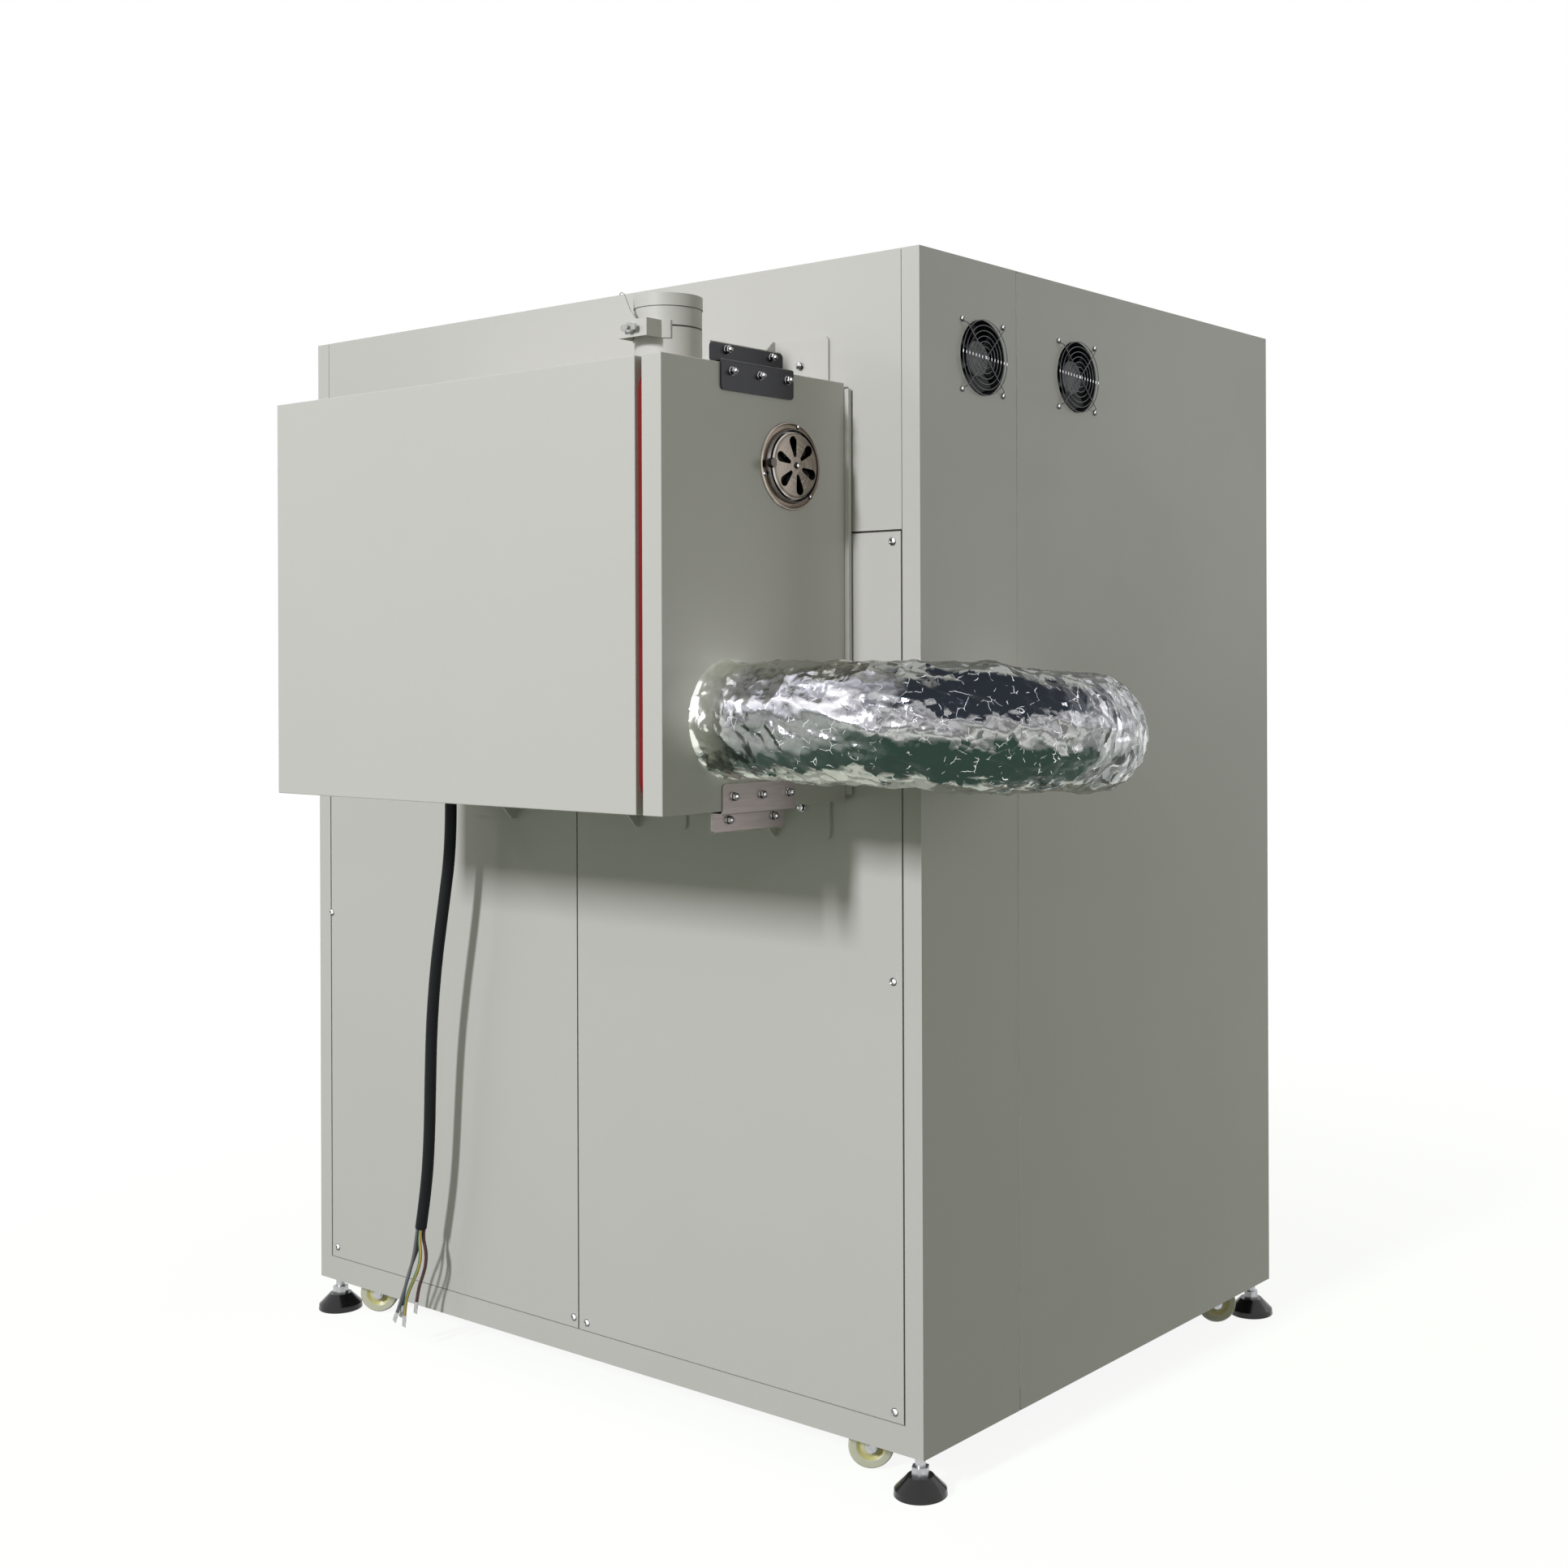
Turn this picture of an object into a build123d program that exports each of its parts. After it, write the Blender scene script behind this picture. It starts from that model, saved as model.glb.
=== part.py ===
from build123d import *
import math
import os

# Convection drying oven seen from its rear corner. Millimetres, +Z up, floor at Z = 0.
# The rear wall faces -Y and carries the air box; the fan side faces +X.
# Every place below is measured from the middle of the cabinet at floor level.
# The finished pieces are moved once, so that the origin is the middle of the overall plan.

# Cabinet
cabinet_width = 1440.0
cabinet_depth = 1060.0
cabinet_height = 1760.0
underside_height = 62.0
sheet = 2.0
return_depth = 15.0
base_rail_height = 43.0
base_wall = 3.0
base_plate = 5.0
corner_pad = 55.0
corner_wrap = 33.0
panel_seam = 3.0
thin_seam = 1.0
upper_panel_height = 411.0
side_seam_setback = 245.0

# Fan bay behind the top of the +X side
bay_depth = 65.0
bay_below_fans = 87.0
fan_size = 120.0
fan_depth = 25.0
fan_bore = 114.0
fan_screw_pitch = 105.0
fan_screw_hole = 4.4
fan_drop = 145.0
fan_setbacks = (156.0, 414.5)
fan_blades = 7
fan_hub_radius = 28.0
fan_hub_length = 12.0
fan_blade_clearance = 5.0
fan_shaft_radius = 2.5
fan_boss_radius = 18.0
fan_boss_height = 4.0
fan_strut = 5.0
guard_wire = 1.6
guard_standoff = 6.0
guard_rings = 8
guard_inner_radius = 8.0
guard_outer_radius = 56.5
guard_eye_radius = 5.0

# Levelling feet
foot_inset = 25.0
foot_radius = 40.0
foot_rim_height = 10.0
foot_height = 29.0
foot_top_radius = 20.0
stud_radius = 8.0
stud_clearance = 0.1
nut_flats = 24.0
nut_height = 13.0

# Casters
wheel_radius = 35.0
wheel_width = 24.0
wheel_lift = 3.0
wheel_bore_clearance = 0.05
wheel_side_gap = 3.0
axle_radius = 4.0
axle_nut_flats = 13.0
axle_nut_height = 6.0
caster_trail = 22.0
caster_angle = 37.7
fork_sheet = 2.5
fork_crown_gap = 5.5
fork_crown_radius = 19.0
fork_boss_radius = 9.0
king_pin_radius = 5.0
king_pin_clearance = 0.05
raceway_gap = 0.5
caster_plate = (60.0, 50.0, 2.5)
caster_clearance = 5.0

# Air box on the rear wall
box_inset = 184.0
box_length = 814.0
box_drop = 189.0
box_height = 620.0
box_depth = 380.0
box_wall_gap = 10.0
box_edge = 1.5
cover_gap = 13.0
cover_thickness = 37.0
gasket_inset = 7.0
gasket_width = 12.0
gasket_corner = 42.0
gasket_inner_corner = 12.0
rear_flange_thickness = 6.0
rear_flange_overhang = 8.0
rear_flange_drop = 9.0

# Brackets that carry the air box
wall_plate_thickness = 4.0
gusset_thickness = 4.0
gusset_setbacks = (118.0, 418.0, 718.0)
gusset_plate_sides = (-1, 1, 1)
gusset_plate_width = 110.0
gusset_plate_height = 110.0
gusset_plate_corner = 8.0
gusset_reach_down = 60.0
gusset_reach_up = 75.0
gusset_nose = 6.0
z_bracket_length = 150.0
z_bracket_sheet = 2.5
z_bracket_step = 18.0
z_bracket_cover_leg = 38.0
z_bracket_lug_leg = 27.0
z_bracket_corner = 6.0
z_bracket_bend = 2.0
z_bracket_lift = 3.0
z_bracket_setback = 191.0
lug_thickness = 8.0
lug_reach = 76.0
lug_overhang = 5.0
lug_side_step = 2.0
lug_inner_radius = 5.0
lug_toe_radius = 2.5

# Exhaust spigot and damper on the air box
spigot_inset = 113.5
spigot_setback = 202.0
spigot_radius = 49.0
spigot_wall = 1.5
spigot_rim_radius = 50.0
spigot_rim_height = 18.5
spigot_rise = 115.0
sleeve_seam = 2.5
neck_clearance = 0.3
neck_height = 12.0
damper_rise = 62.5
sleeve_over_damper = 7.0
damper_blade_gap = 5.7
damper_blade_thickness = 1.5
spindle_radius = 3.0
spindle_clearance = 0.05
damper_box = (57.5, 25.0)
damper_reach = 72.0
damper_box_sheet = 2.0
saddle_width = 77.0
saddle_thickness = 2.0
saddle_gap = 0.3
lever_setback = 14.0
lever_slot = 26.0
lever_width = 12.0
lever_thickness = 2.0
lever_hub_radius = 8.0
lever_bend = (-23.0, 26.0)
lever_tip = (-36.0, 52.0)
lever_eye_radius = 4.0
wing_nut_span = 30.0

# Round air vent on the end cover
vent_setback = 121.0
vent_drop = 133.0
vent_flange_radius = 63.0
vent_neck_radius = 52.0
vent_bore_radius = 45.0
vent_sheet = 1.5
vent_neck_height = 8.0
vent_dish_radius = 48.0
vent_dish_height = 12.0
vent_dish_gap = 1.0
vent_slots = 6
vent_slot_start = 42.0
vent_slot_inner = (15.5, 3.0)
vent_slot_outer = (35.0, 7.6)
vent_rivet_radius = 4.0
vent_rivet_clearance = 0.05
vent_knob_flats = 12.0
vent_knob_height = 9.0

# Foil duct from the end cover round to the +X side
duct_radius = 88.0
duct_start_inset = 135.0
duct_start_rise = 127.0
duct_reach = 258.0
duct_turn_rise = 104.0
duct_end_setback = 205.0
duct_end_rise = 109.0
duct_bend = 228.0

# Supply lead under the air box
gland_flats = 30.0
gland_nut_height = 8.0
gland_wall = 1.5
gland_dome_radius = 14.5
gland_dome_height = 20.0
cable_radius = 10.0
# Points are measured from the box's left end and rear face, and from the floor
cable_layout = [
    (30.0, -60.0, 985.0),
    (30.0, -60.0, 905.0),
    (14.0, -64.0, 800.0),
    (-7.0, -64.0, 695.0),
    (-24.0, -60.0, 590.0),
    (-33.0, -56.0, 490.0),
    (-40.0, -53.0, 390.0),
    (-51.0, -51.0, 303.0),
    (-68.0, -50.0, 230.0),
]
cable_laid_from = 985.0
core_radius = 3.0
core_circle = 5.6
core_lead = 18.0
# Each core: its place round the jacket's end in degrees, then the points it hangs through
cores = {
    "grey": (228.0, [(-79.5, -56.0, 182.0), (-90.0, -57.0, 151.0), (-104.0, -56.0, 122.0),
                     (-118.0, -54.0, 95.5), (-130.5, -53.0, 71.5)]),
    "black": (138.0, [(-85.0, -44.0, 188.0), (-101.0, -43.0, 162.0), (-114.0, -43.0, 134.0),
                      (-123.0, -44.0, 107.0), (-127.0, -45.0, 82.0)]),
    "green_yellow": (318.0, [(-63.0, -54.0, 184.0), (-69.0, -55.0, 159.0), (-82.0, -56.0, 136.0),
                             (-96.0, -56.0, 113.0), (-105.5, -55.0, 91.0), (-109.0, -54.0, 70.0)]),
    "brown": (48.0, [(-58.5, -46.0, 190.0), (-58.5, -47.0, 166.0), (-67.0, -48.0, 143.0),
                     (-77.0, -49.0, 121.0), (-81.5, -49.0, 98.0)]),
}
lug_barrel_radius = 3.4
lug_barrel_length = 12.0
lug_tongue = (9.0, 12.0, 1.2)

# Places that follow from the sizes above
side_x = cabinet_width / 2
rear_y = cabinet_depth / 2
cabinet_top = underside_height + cabinet_height
rail_top = underside_height + base_rail_height
base_ceiling = rail_top - base_plate
lower_panel_top = cabinet_top - upper_panel_height
side_seam_y = -rear_y + side_seam_setback
fan_height = cabinet_top - fan_drop
fan_places_y = [-rear_y + setback for setback in fan_setbacks]
bay_floor = fan_height - bay_below_fans
box_right = side_x - box_inset
box_left = box_right - box_length
box_bottom = cabinet_top - box_drop - box_height
box_rear = -rear_y - box_wall_gap
box_front = box_rear - box_depth
box_top = box_bottom + box_height
cover_inner = box_right + cover_gap
cover_face = cover_inner + cover_thickness
gusset_places_x = [box_left + setback for setback in gusset_setbacks]
z_bracket_y = box_rear - z_bracket_setback
spigot_x = box_right - spigot_inset
spigot_y = box_rear - spigot_setback
spigot_top = box_top + spigot_rise
damper_height = box_top + damper_rise
sleeve_bottom = damper_height + sleeve_over_damper
vent_y = box_rear - vent_setback
vent_z = box_top - vent_drop
duct_start = (box_front + duct_start_inset, box_bottom + duct_start_rise)
duct_turn_x = side_x + duct_reach
duct_turn_z = box_bottom + duct_turn_rise
duct_end = (-rear_y + duct_end_setback, box_bottom + duct_end_rise)
lead_ratio = (box_bottom - gland_nut_height - gland_dome_height) / cable_laid_from
cable_points = [(box_left + x, box_rear + y, z * lead_ratio) for x, y, z in cable_layout]
foot_x = side_x - foot_inset
foot_y = rear_y - foot_inset
wheel_height = wheel_lift + wheel_radius
swivel_radius = math.hypot(caster_trail + wheel_radius, wheel_width / 2)
caster_edge = swivel_radius + caster_clearance
plan_low_x = -foot_x - foot_radius
plan_high_x = duct_turn_x + duct_radius
plan_low_y = box_front
plan_high_y = foot_y + foot_radius
plan_middle = Pos(-(plan_low_x + plan_high_x) / 2, -(plan_low_y + plan_high_y) / 2, 0)


def span(x, y, z):
    """A box between the two limits given on each axis."""
    size = [abs(pair[1] - pair[0]) for pair in (x, y, z)]
    middle = [(pair[0] + pair[1]) / 2 for pair in (x, y, z)]
    return Pos(*middle) * Box(*size)


def rod(start, end, radius):
    """A round bar between two points."""
    along = Vector(*end) - Vector(*start)
    plane = Plane(origin=start, z_dir=along)
    return plane * Cylinder(radius, along.length, align=(Align.CENTER, Align.CENTER, Align.MIN))


def hex_bar(start, end, flats):
    """A hexagonal bar between two points, sized across its flats."""
    along = Vector(*end) - Vector(*start)
    plane = Plane(origin=start, z_dir=along)
    outline = RegularPolygon(flats / 2, 6, major_radius=False)
    return plane * extrude(outline, along.length)


def tray(x, z, y_out, inward):
    """A folded sheet panel in the XZ plane whose edges return towards the cabinet."""
    y_in = y_out + inward * return_depth
    outer = span(x, (y_out, y_in), z)
    hollow = span((x[0] + sheet, x[1] - sheet), (y_out + inward * sheet, y_in + inward),
                  (z[0] + sheet, z[1] - sheet))
    return outer - hollow


# Cabinet

def base_frame():
    outer_x, outer_y = side_x - sheet, rear_y - sheet
    skirt = span((-outer_x, outer_x), (-outer_y, outer_y), (underside_height, rail_top))
    inner_x = side_x - sheet - base_wall
    inner_y = rear_y - sheet - base_wall
    skirt -= span((-inner_x, inner_x), (-inner_y, inner_y), (underside_height - 1, base_ceiling))
    rail_x = side_x - corner_wrap
    for side in (-1, 1):
        skirt += span((-rail_x, rail_x), (side * outer_y, side * rear_y), (underside_height, rail_top))
    for sx in (-1, 1):
        for sy in (-1, 1):
            skirt += span((sx * (inner_x - corner_pad), sx * inner_x),
                          (sy * (inner_y - corner_pad), sy * inner_y), (underside_height, base_ceiling))
            hole_from = (sx * foot_x, sy * foot_y, underside_height - 1)
            skirt -= rod(hole_from, (sx * foot_x, sy * foot_y, base_ceiling), stud_radius + stud_clearance)
    return skirt


def cabinet_body_lower():
    return span((-side_x + return_depth, side_x - return_depth),
                (-rear_y + return_depth, rear_y - return_depth), (rail_top, bay_floor))


def cabinet_body_upper():
    return span((-side_x + return_depth, side_x - return_depth - bay_depth),
                (-rear_y + return_depth, rear_y - return_depth), (bay_floor, cabinet_top - sheet))


def roof_panel():
    return span((-side_x, side_x), (-rear_y, rear_y), (cabinet_top - sheet, cabinet_top))


def side_sheet(y_corner, y_seam):
    """One half of the +X side, wrapped round its corner onto the neighbouring wall."""
    to_seam = 1 if y_seam > y_corner else -1
    heights = (underside_height, cabinet_top - sheet)
    folded = (rail_top, cabinet_top - sheet)
    panel = span((side_x - sheet, side_x), (y_corner, y_seam), heights)
    panel += span((side_x - corner_wrap, side_x), (y_corner, y_corner + to_seam * sheet), heights)
    panel += span((side_x - corner_wrap, side_x - corner_wrap + sheet),
                  (y_corner, y_corner + to_seam * return_depth), folded)
    panel += span((side_x - return_depth, side_x), (y_seam - to_seam * sheet, y_seam), folded)
    return panel


def fan_hole(y):
    return rod((side_x - sheet - 1, y, fan_height), (side_x + 1, y, fan_height), fan_bore / 2)


def side_panel_near():
    return side_sheet(-rear_y, side_seam_y - panel_seam / 2) - fan_hole(fan_places_y[0])


def side_panel_far():
    return side_sheet(rear_y, side_seam_y + panel_seam / 2) - fan_hole(fan_places_y[1])


def opposite_side_panels():
    near = mirror(side_sheet(-rear_y, side_seam_y - panel_seam / 2), about=Plane.YZ)
    far = mirror(side_sheet(rear_y, side_seam_y + panel_seam / 2), about=Plane.YZ)
    return Compound(children=[near, far])


wall_edge_x = side_x - corner_wrap


def upper_wall(side):
    x = wall_edge_x - thin_seam
    z = (lower_panel_top + panel_seam / 2, cabinet_top - sheet)
    return tray((-x, x), z, side * rear_y, -side)


def lower_wall(side, half):
    """A removable lower panel: half is -1 for the left one and 1 for the right one, seen from the rear."""
    edges = sorted((half * panel_seam / 2, half * (wall_edge_x - panel_seam)))
    middle = -8.0 if side < 0 else 8.0
    x = (edges[0] + (middle if half > 0 else 0), edges[1] + (middle if half < 0 else 0))
    z = (rail_top + panel_seam / 2, lower_panel_top - panel_seam / 2)
    return tray(x, z, side * rear_y, -side)


def front_panels():
    return Compound(children=[upper_wall(1), lower_wall(1, -1), lower_wall(1, 1)])


# Fans

def fan_frame(y):
    back = side_x - sheet - fan_depth
    front = side_x - sheet
    half = fan_size / 2
    frame = span((back, front), (y - half, y + half), (fan_height - half, fan_height + half))
    frame = fillet(frame.edges().filter_by(Axis.X), 5.0)
    frame -= rod((back - 1, y, fan_height), (front + 1, y, fan_height), fan_bore / 2)
    for sy in (-1, 1):
        for sz in (-1, 1):
            at = (y + sy * fan_screw_pitch / 2, fan_height + sz * fan_screw_pitch / 2)
            frame -= rod((back - 1, *at), (front + 1, *at), fan_screw_hole / 2)
    thin = fan_strut / 2
    cross = span((back, back + 3), (y - thin, y + thin), (fan_height - half, fan_height + half))
    cross += span((back, back + 3), (y - half, y + half), (fan_height - thin, fan_height + thin))
    frame += cross
    frame += rod((back, y, fan_height), (back + fan_boss_height, y, fan_height), fan_boss_radius)
    frame -= rod((back - 1, y, fan_height), (back + fan_boss_height + 1, y, fan_height),
                 fan_shaft_radius + 0.05)
    return frame


def fan_rotor(y):
    back = side_x - sheet - fan_depth
    hub_from = back + fan_boss_height + 1.0
    hub_to = hub_from + fan_hub_length
    rotor = rod((hub_from, y, fan_height), (hub_to, y, fan_height), fan_hub_radius)
    rotor = fillet(rotor.edges().sort_by(Axis.X)[-1], 2.0)
    rotor += rod((back, y, fan_height), (hub_from + 1, y, fan_height), fan_shaft_radius)
    middle = (hub_from + hub_to) / 2
    tip = fan_bore / 2 - fan_blade_clearance
    for index in range(fan_blades):
        blade = fan_blade(fan_hub_radius - 1.5, tip, hub_to - hub_from)
        rotor += Location((middle, y, fan_height), (360.0 / fan_blades * index, 0, 0)) * blade
    return rotor


def fan_blade(root, tip, depth):
    """A twisted blade that stands along +Z from the fan's axis."""
    sections = []
    for radius, chord, pitch in ((root, 15.0, 38.0), ((root + tip) / 2, 24.0, 30.0), (tip, 30.0, 22.0)):
        plane = Plane(origin=(0, 0, radius), x_dir=(0, 1, 0), z_dir=(0, 0, 1))
        length = min(chord, depth / math.sin(math.radians(pitch)))
        sections.append(plane * (Rot(0, 0, pitch) * Rectangle(length, 1.6)))
    return loft(sections)


def fan_guard(y):
    """Concentric wire rings on two crossed wires that end in screw eyes."""
    ring_x = side_x + guard_standoff
    pitch = (guard_outer_radius - guard_inner_radius) / (guard_rings - 1)
    axis = Axis((0, y, fan_height), (1, 0, 0))
    guard = None
    for index in range(guard_rings):
        radius = guard_inner_radius + index * pitch
        plane = Plane(origin=(ring_x, y, fan_height + radius), z_dir=(0, 1, 0))
        section = plane * RegularPolygon(guard_wire / 1.7, 4)
        ring = revolve(section, axis)
        guard = ring if guard is None else guard + ring
    reach = fan_screw_pitch / 2
    leg_x = ring_x - guard_wire * 0.8
    for turn in (45, 135, 225, 315):
        leg = span((leg_x - guard_wire / 2, leg_x + guard_wire / 2), (-guard_wire / 2, guard_wire / 2),
                   (guard_inner_radius - 1, reach * math.sqrt(2) - guard_eye_radius + 1))
        drop_z = reach * math.sqrt(2) - guard_eye_radius
        leg += span((side_x, leg_x + guard_wire / 2), (-guard_wire / 2, guard_wire / 2),
                    (drop_z - guard_wire / 2, drop_z + guard_wire / 2))
        eye_z = reach * math.sqrt(2)
        eye = rod((side_x, 0, eye_z), (side_x + guard_wire, 0, eye_z), guard_eye_radius)
        eye -= rod((side_x - 1, 0, eye_z), (side_x + 3, 0, eye_z), fan_screw_hole / 2)
        guard += Location((0, y, fan_height), (turn, 0, 0)) * (leg + eye)
    return guard


def for_each_fan(make):
    return Compound(children=[make(y) for y in fan_places_y])


# Levelling feet

foot_places = [(sx * foot_x, sy * foot_y) for sy in (-1, 1) for sx in (-1, 1)]


def foot_pad(x, y):
    rim_inner = foot_radius - 1.0
    shoulder = foot_radius - 2.0
    outline = Polyline((0, 0), (foot_radius - 1, 0), (foot_radius, 1), (rim_inner, foot_rim_height),
                       (shoulder, foot_rim_height + 1), (foot_top_radius, foot_height), (0, foot_height),
                       close=True)
    profile = Plane.XZ * make_face(outline)
    pad = revolve(profile, Axis.Z)
    pad -= Pos(0, 0, foot_height) * Cylinder(stud_radius + stud_clearance, 12)
    return Pos(x, y, 0) * pad


def foot_stud(x, y):
    stud = rod((x, y, foot_height - 6), (x, y, base_ceiling - 2), stud_radius)
    nut = hex_bar((x, y, foot_height), (x, y, foot_height + nut_height), nut_flats)
    return stud + nut


def foot_pads():
    return Compound(children=[foot_pad(x, y) for x, y in foot_places])


def foot_studs():
    return Compound(children=[foot_stud(x, y) for x, y in foot_places])


# Casters: the rear pair stands beside its feet along X, the front pair along Y

caster_low = side_x - sheet - base_wall - corner_pad - caster_edge - 1.0
caster_rear_y = -(rear_y - sheet - base_wall - caster_edge)
caster_side_x = side_x - sheet - base_wall - caster_edge
caster_front_y = rear_y - sheet - base_wall - corner_pad - caster_edge - 1.0
caster_places = {
    "rear_left": (-caster_low, caster_rear_y, 180.0 + caster_angle),
    "rear_right": (caster_low, caster_rear_y, 180.0 + caster_angle),
    "front_left": (-caster_side_x, caster_front_y, caster_angle),
    "front_right": (caster_side_x, caster_front_y, caster_angle),
}
fork_gap = wheel_width / 2 + wheel_side_gap
crown_bottom = wheel_height + wheel_radius + fork_crown_gap
crown_top = crown_bottom + fork_sheet
plate_bottom = base_ceiling - caster_plate[2]


def caster_mount(x, y, turn):
    plate = Pos(0, 0, base_ceiling - caster_plate[2] / 2) * Box(*caster_plate)
    plate = fillet(plate.edges().filter_by(Axis.Z), 6.0)
    raceway = rod((0, 0, crown_top + raceway_gap), (0, 0, plate_bottom), fork_crown_radius)
    pin = rod((0, 0, crown_bottom), (0, 0, plate_bottom), king_pin_radius)
    return Pos(x, y, 0) * (plate + raceway + pin)


def caster_mounts():
    return Compound(children=[caster_mount(*place) for place in caster_places.values()])


def caster_fork(x, y, turn):
    """The swivelling yoke, drawn with its wheel trailing along +X and then turned."""
    crown = Cylinder(fork_crown_radius, fork_sheet)
    crown = Pos(0, 0, crown_bottom + fork_sheet / 2) * crown
    outline = Polyline((-15, crown_top), (15, crown_top), (caster_trail + fork_boss_radius, wheel_height),
                       (caster_trail - fork_boss_radius, wheel_height), close=True)
    cheek = Plane.XZ * make_face(outline)
    fork = crown
    for side in (-1, 1):
        inner = side * fork_gap
        leg = extrude(cheek, fork_sheet / 2, both=True)
        leg = Pos(0, inner + side * fork_sheet / 2, 0) * leg
        leg += rod((caster_trail, inner, wheel_height),
                   (caster_trail, inner + side * fork_sheet, wheel_height),
                   fork_boss_radius)
        fork += leg
        fork += hex_bar((caster_trail, inner + side * fork_sheet, wheel_height),
                        (caster_trail, inner + side * (fork_sheet + axle_nut_height), wheel_height),
                        axle_nut_flats)
    fork += span((-15, 15), (-fork_gap - fork_sheet, fork_gap + fork_sheet), (crown_bottom, crown_top))
    fork += rod((caster_trail, -fork_gap - 1, wheel_height), (caster_trail, fork_gap + 1, wheel_height),
                axle_radius)
    fork -= rod((0, 0, crown_bottom - 1), (0, 0, crown_top + 1), king_pin_radius + king_pin_clearance)
    return Location((x, y, 0), (0, 0, turn)) * fork


def caster_wheel(x, y, turn):
    half = wheel_width / 2
    outline = Polyline((axle_radius + wheel_bore_clearance, -half - 1.5), (11, -half - 1.5), (11, -half + 1),
                       (17, -half + 3), (23, -half), (wheel_radius - 2.5, -half),
                       (wheel_radius, -half + 3.5),
                       (wheel_radius, half - 3.5), (wheel_radius - 2.5, half), (23, half), (17, half - 3),
                       (11, half - 1), (11, half + 1.5), (axle_radius + wheel_bore_clearance, half + 1.5),
                       close=True)
    wheel = revolve(Plane.XZ * make_face(outline), Axis.Z)
    wheel = Location((caster_trail, 0, wheel_height), (90, 0, 0)) * wheel
    return Location((x, y, 0), (0, 0, turn)) * wheel


# Air box

def box_body():
    body = span((box_left, box_right), (box_front, box_rear), (box_bottom, box_top))
    return fillet(body.edges(), box_edge)


def box_gasket():
    width = box_depth - 2 * gasket_inset
    height = box_height - 2 * gasket_inset
    outer = RectangleRounded(width, height, gasket_corner)
    inner = RectangleRounded(width - 2 * gasket_width, height - 2 * gasket_width, gasket_inner_corner)
    plane = Plane(origin=(box_right, (box_front + box_rear) / 2, (box_bottom + box_top) / 2),
                  x_dir=(0, 1, 0), z_dir=(1, 0, 0))
    return plane * extrude(outer - inner, cover_gap)


def box_end_cover():
    cover = span((cover_inner, cover_face), (box_front, box_rear), (box_bottom, box_top))
    cover = fillet(cover.edges(), box_edge)
    return cover - rod((cover_inner - 1, vent_y, vent_z), (cover_face + 1, vent_y, vent_z), vent_bore_radius)


def box_rear_flange():
    return span((box_left + rear_flange_overhang, cover_face + rear_flange_overhang),
                (box_rear, box_rear + rear_flange_thickness),
                (box_bottom + rear_flange_drop, box_top - rear_flange_drop))


def gusset_bracket(x, side, level):
    """A wall plate with a 45 degree gusset; level is -1 under the box and 1 above it."""
    edge, reach = (box_bottom, gusset_reach_down) if level < 0 else (box_top, gusset_reach_up)
    far = edge + level * reach
    near = far - level * gusset_plate_height
    wall_face = -rear_y - wall_plate_thickness
    plate = span((x, x + side * gusset_plate_width), (wall_face, -rear_y), (near, far))
    outer_edge = plate.edges().filter_by(Axis.Y).sort_by(Axis.X)[-2:] if side > 0 else \
        plate.edges().filter_by(Axis.Y).sort_by(Axis.X)[:2]
    plate = fillet(outer_edge, gusset_plate_corner)
    outline = Polyline((wall_face, edge), (wall_face - reach, edge),
                       (wall_face - gusset_nose, far),
                       (wall_face, far), close=True)
    web = Plane(origin=(x, 0, 0), x_dir=(0, 1, 0), z_dir=(1, 0, 0)) * make_face(outline)
    return plate + extrude(web, side * gusset_thickness)


def gussets(level):
    pairs = zip(gusset_places_x, gusset_plate_sides)
    return Compound(children=[gusset_bracket(x, side, level) for x, side in pairs])


lug_leg_outer = cover_face - z_bracket_step - z_bracket_sheet


def bent_section(points, level, length, bends):
    """A folded section from (x, height over the box's edge) points, rounded where bends says, along Y."""
    edge = box_bottom if level < 0 else box_top
    face = make_face(Polyline(*[(x, edge + level * h) for x, h in points], close=True))
    for (x, h), radius in bends.items():
        corner = face.vertices().sort_by_distance((x, edge + level * h, 0))[0]
        face = fillet(corner, radius)
    plane = Plane(origin=(0, z_bracket_y, 0), x_dir=(1, 0, 0), z_dir=(0, -1, 0))
    return plane * extrude(face, length / 2, both=True)


def lug_angle(level):
    """An angle on the air box whose upright leg stands past the end cover's edge."""
    back = lug_leg_outer - lug_reach
    inner = lug_leg_outer - lug_thickness
    tip = z_bracket_lug_leg + lug_overhang
    points = [(back, 0), (lug_leg_outer, 0), (lug_leg_outer, tip), (inner, tip), (inner, lug_thickness),
              (back, lug_thickness)]
    bends = {(inner, lug_thickness): lug_inner_radius, (inner, tip): lug_toe_radius,
             (back, lug_thickness): lug_toe_radius}
    return bent_section(points, level, z_bracket_length - 2 * lug_side_step, bends)


def lug_angles():
    return Compound(children=[lug_angle(-1), lug_angle(1)])


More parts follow.
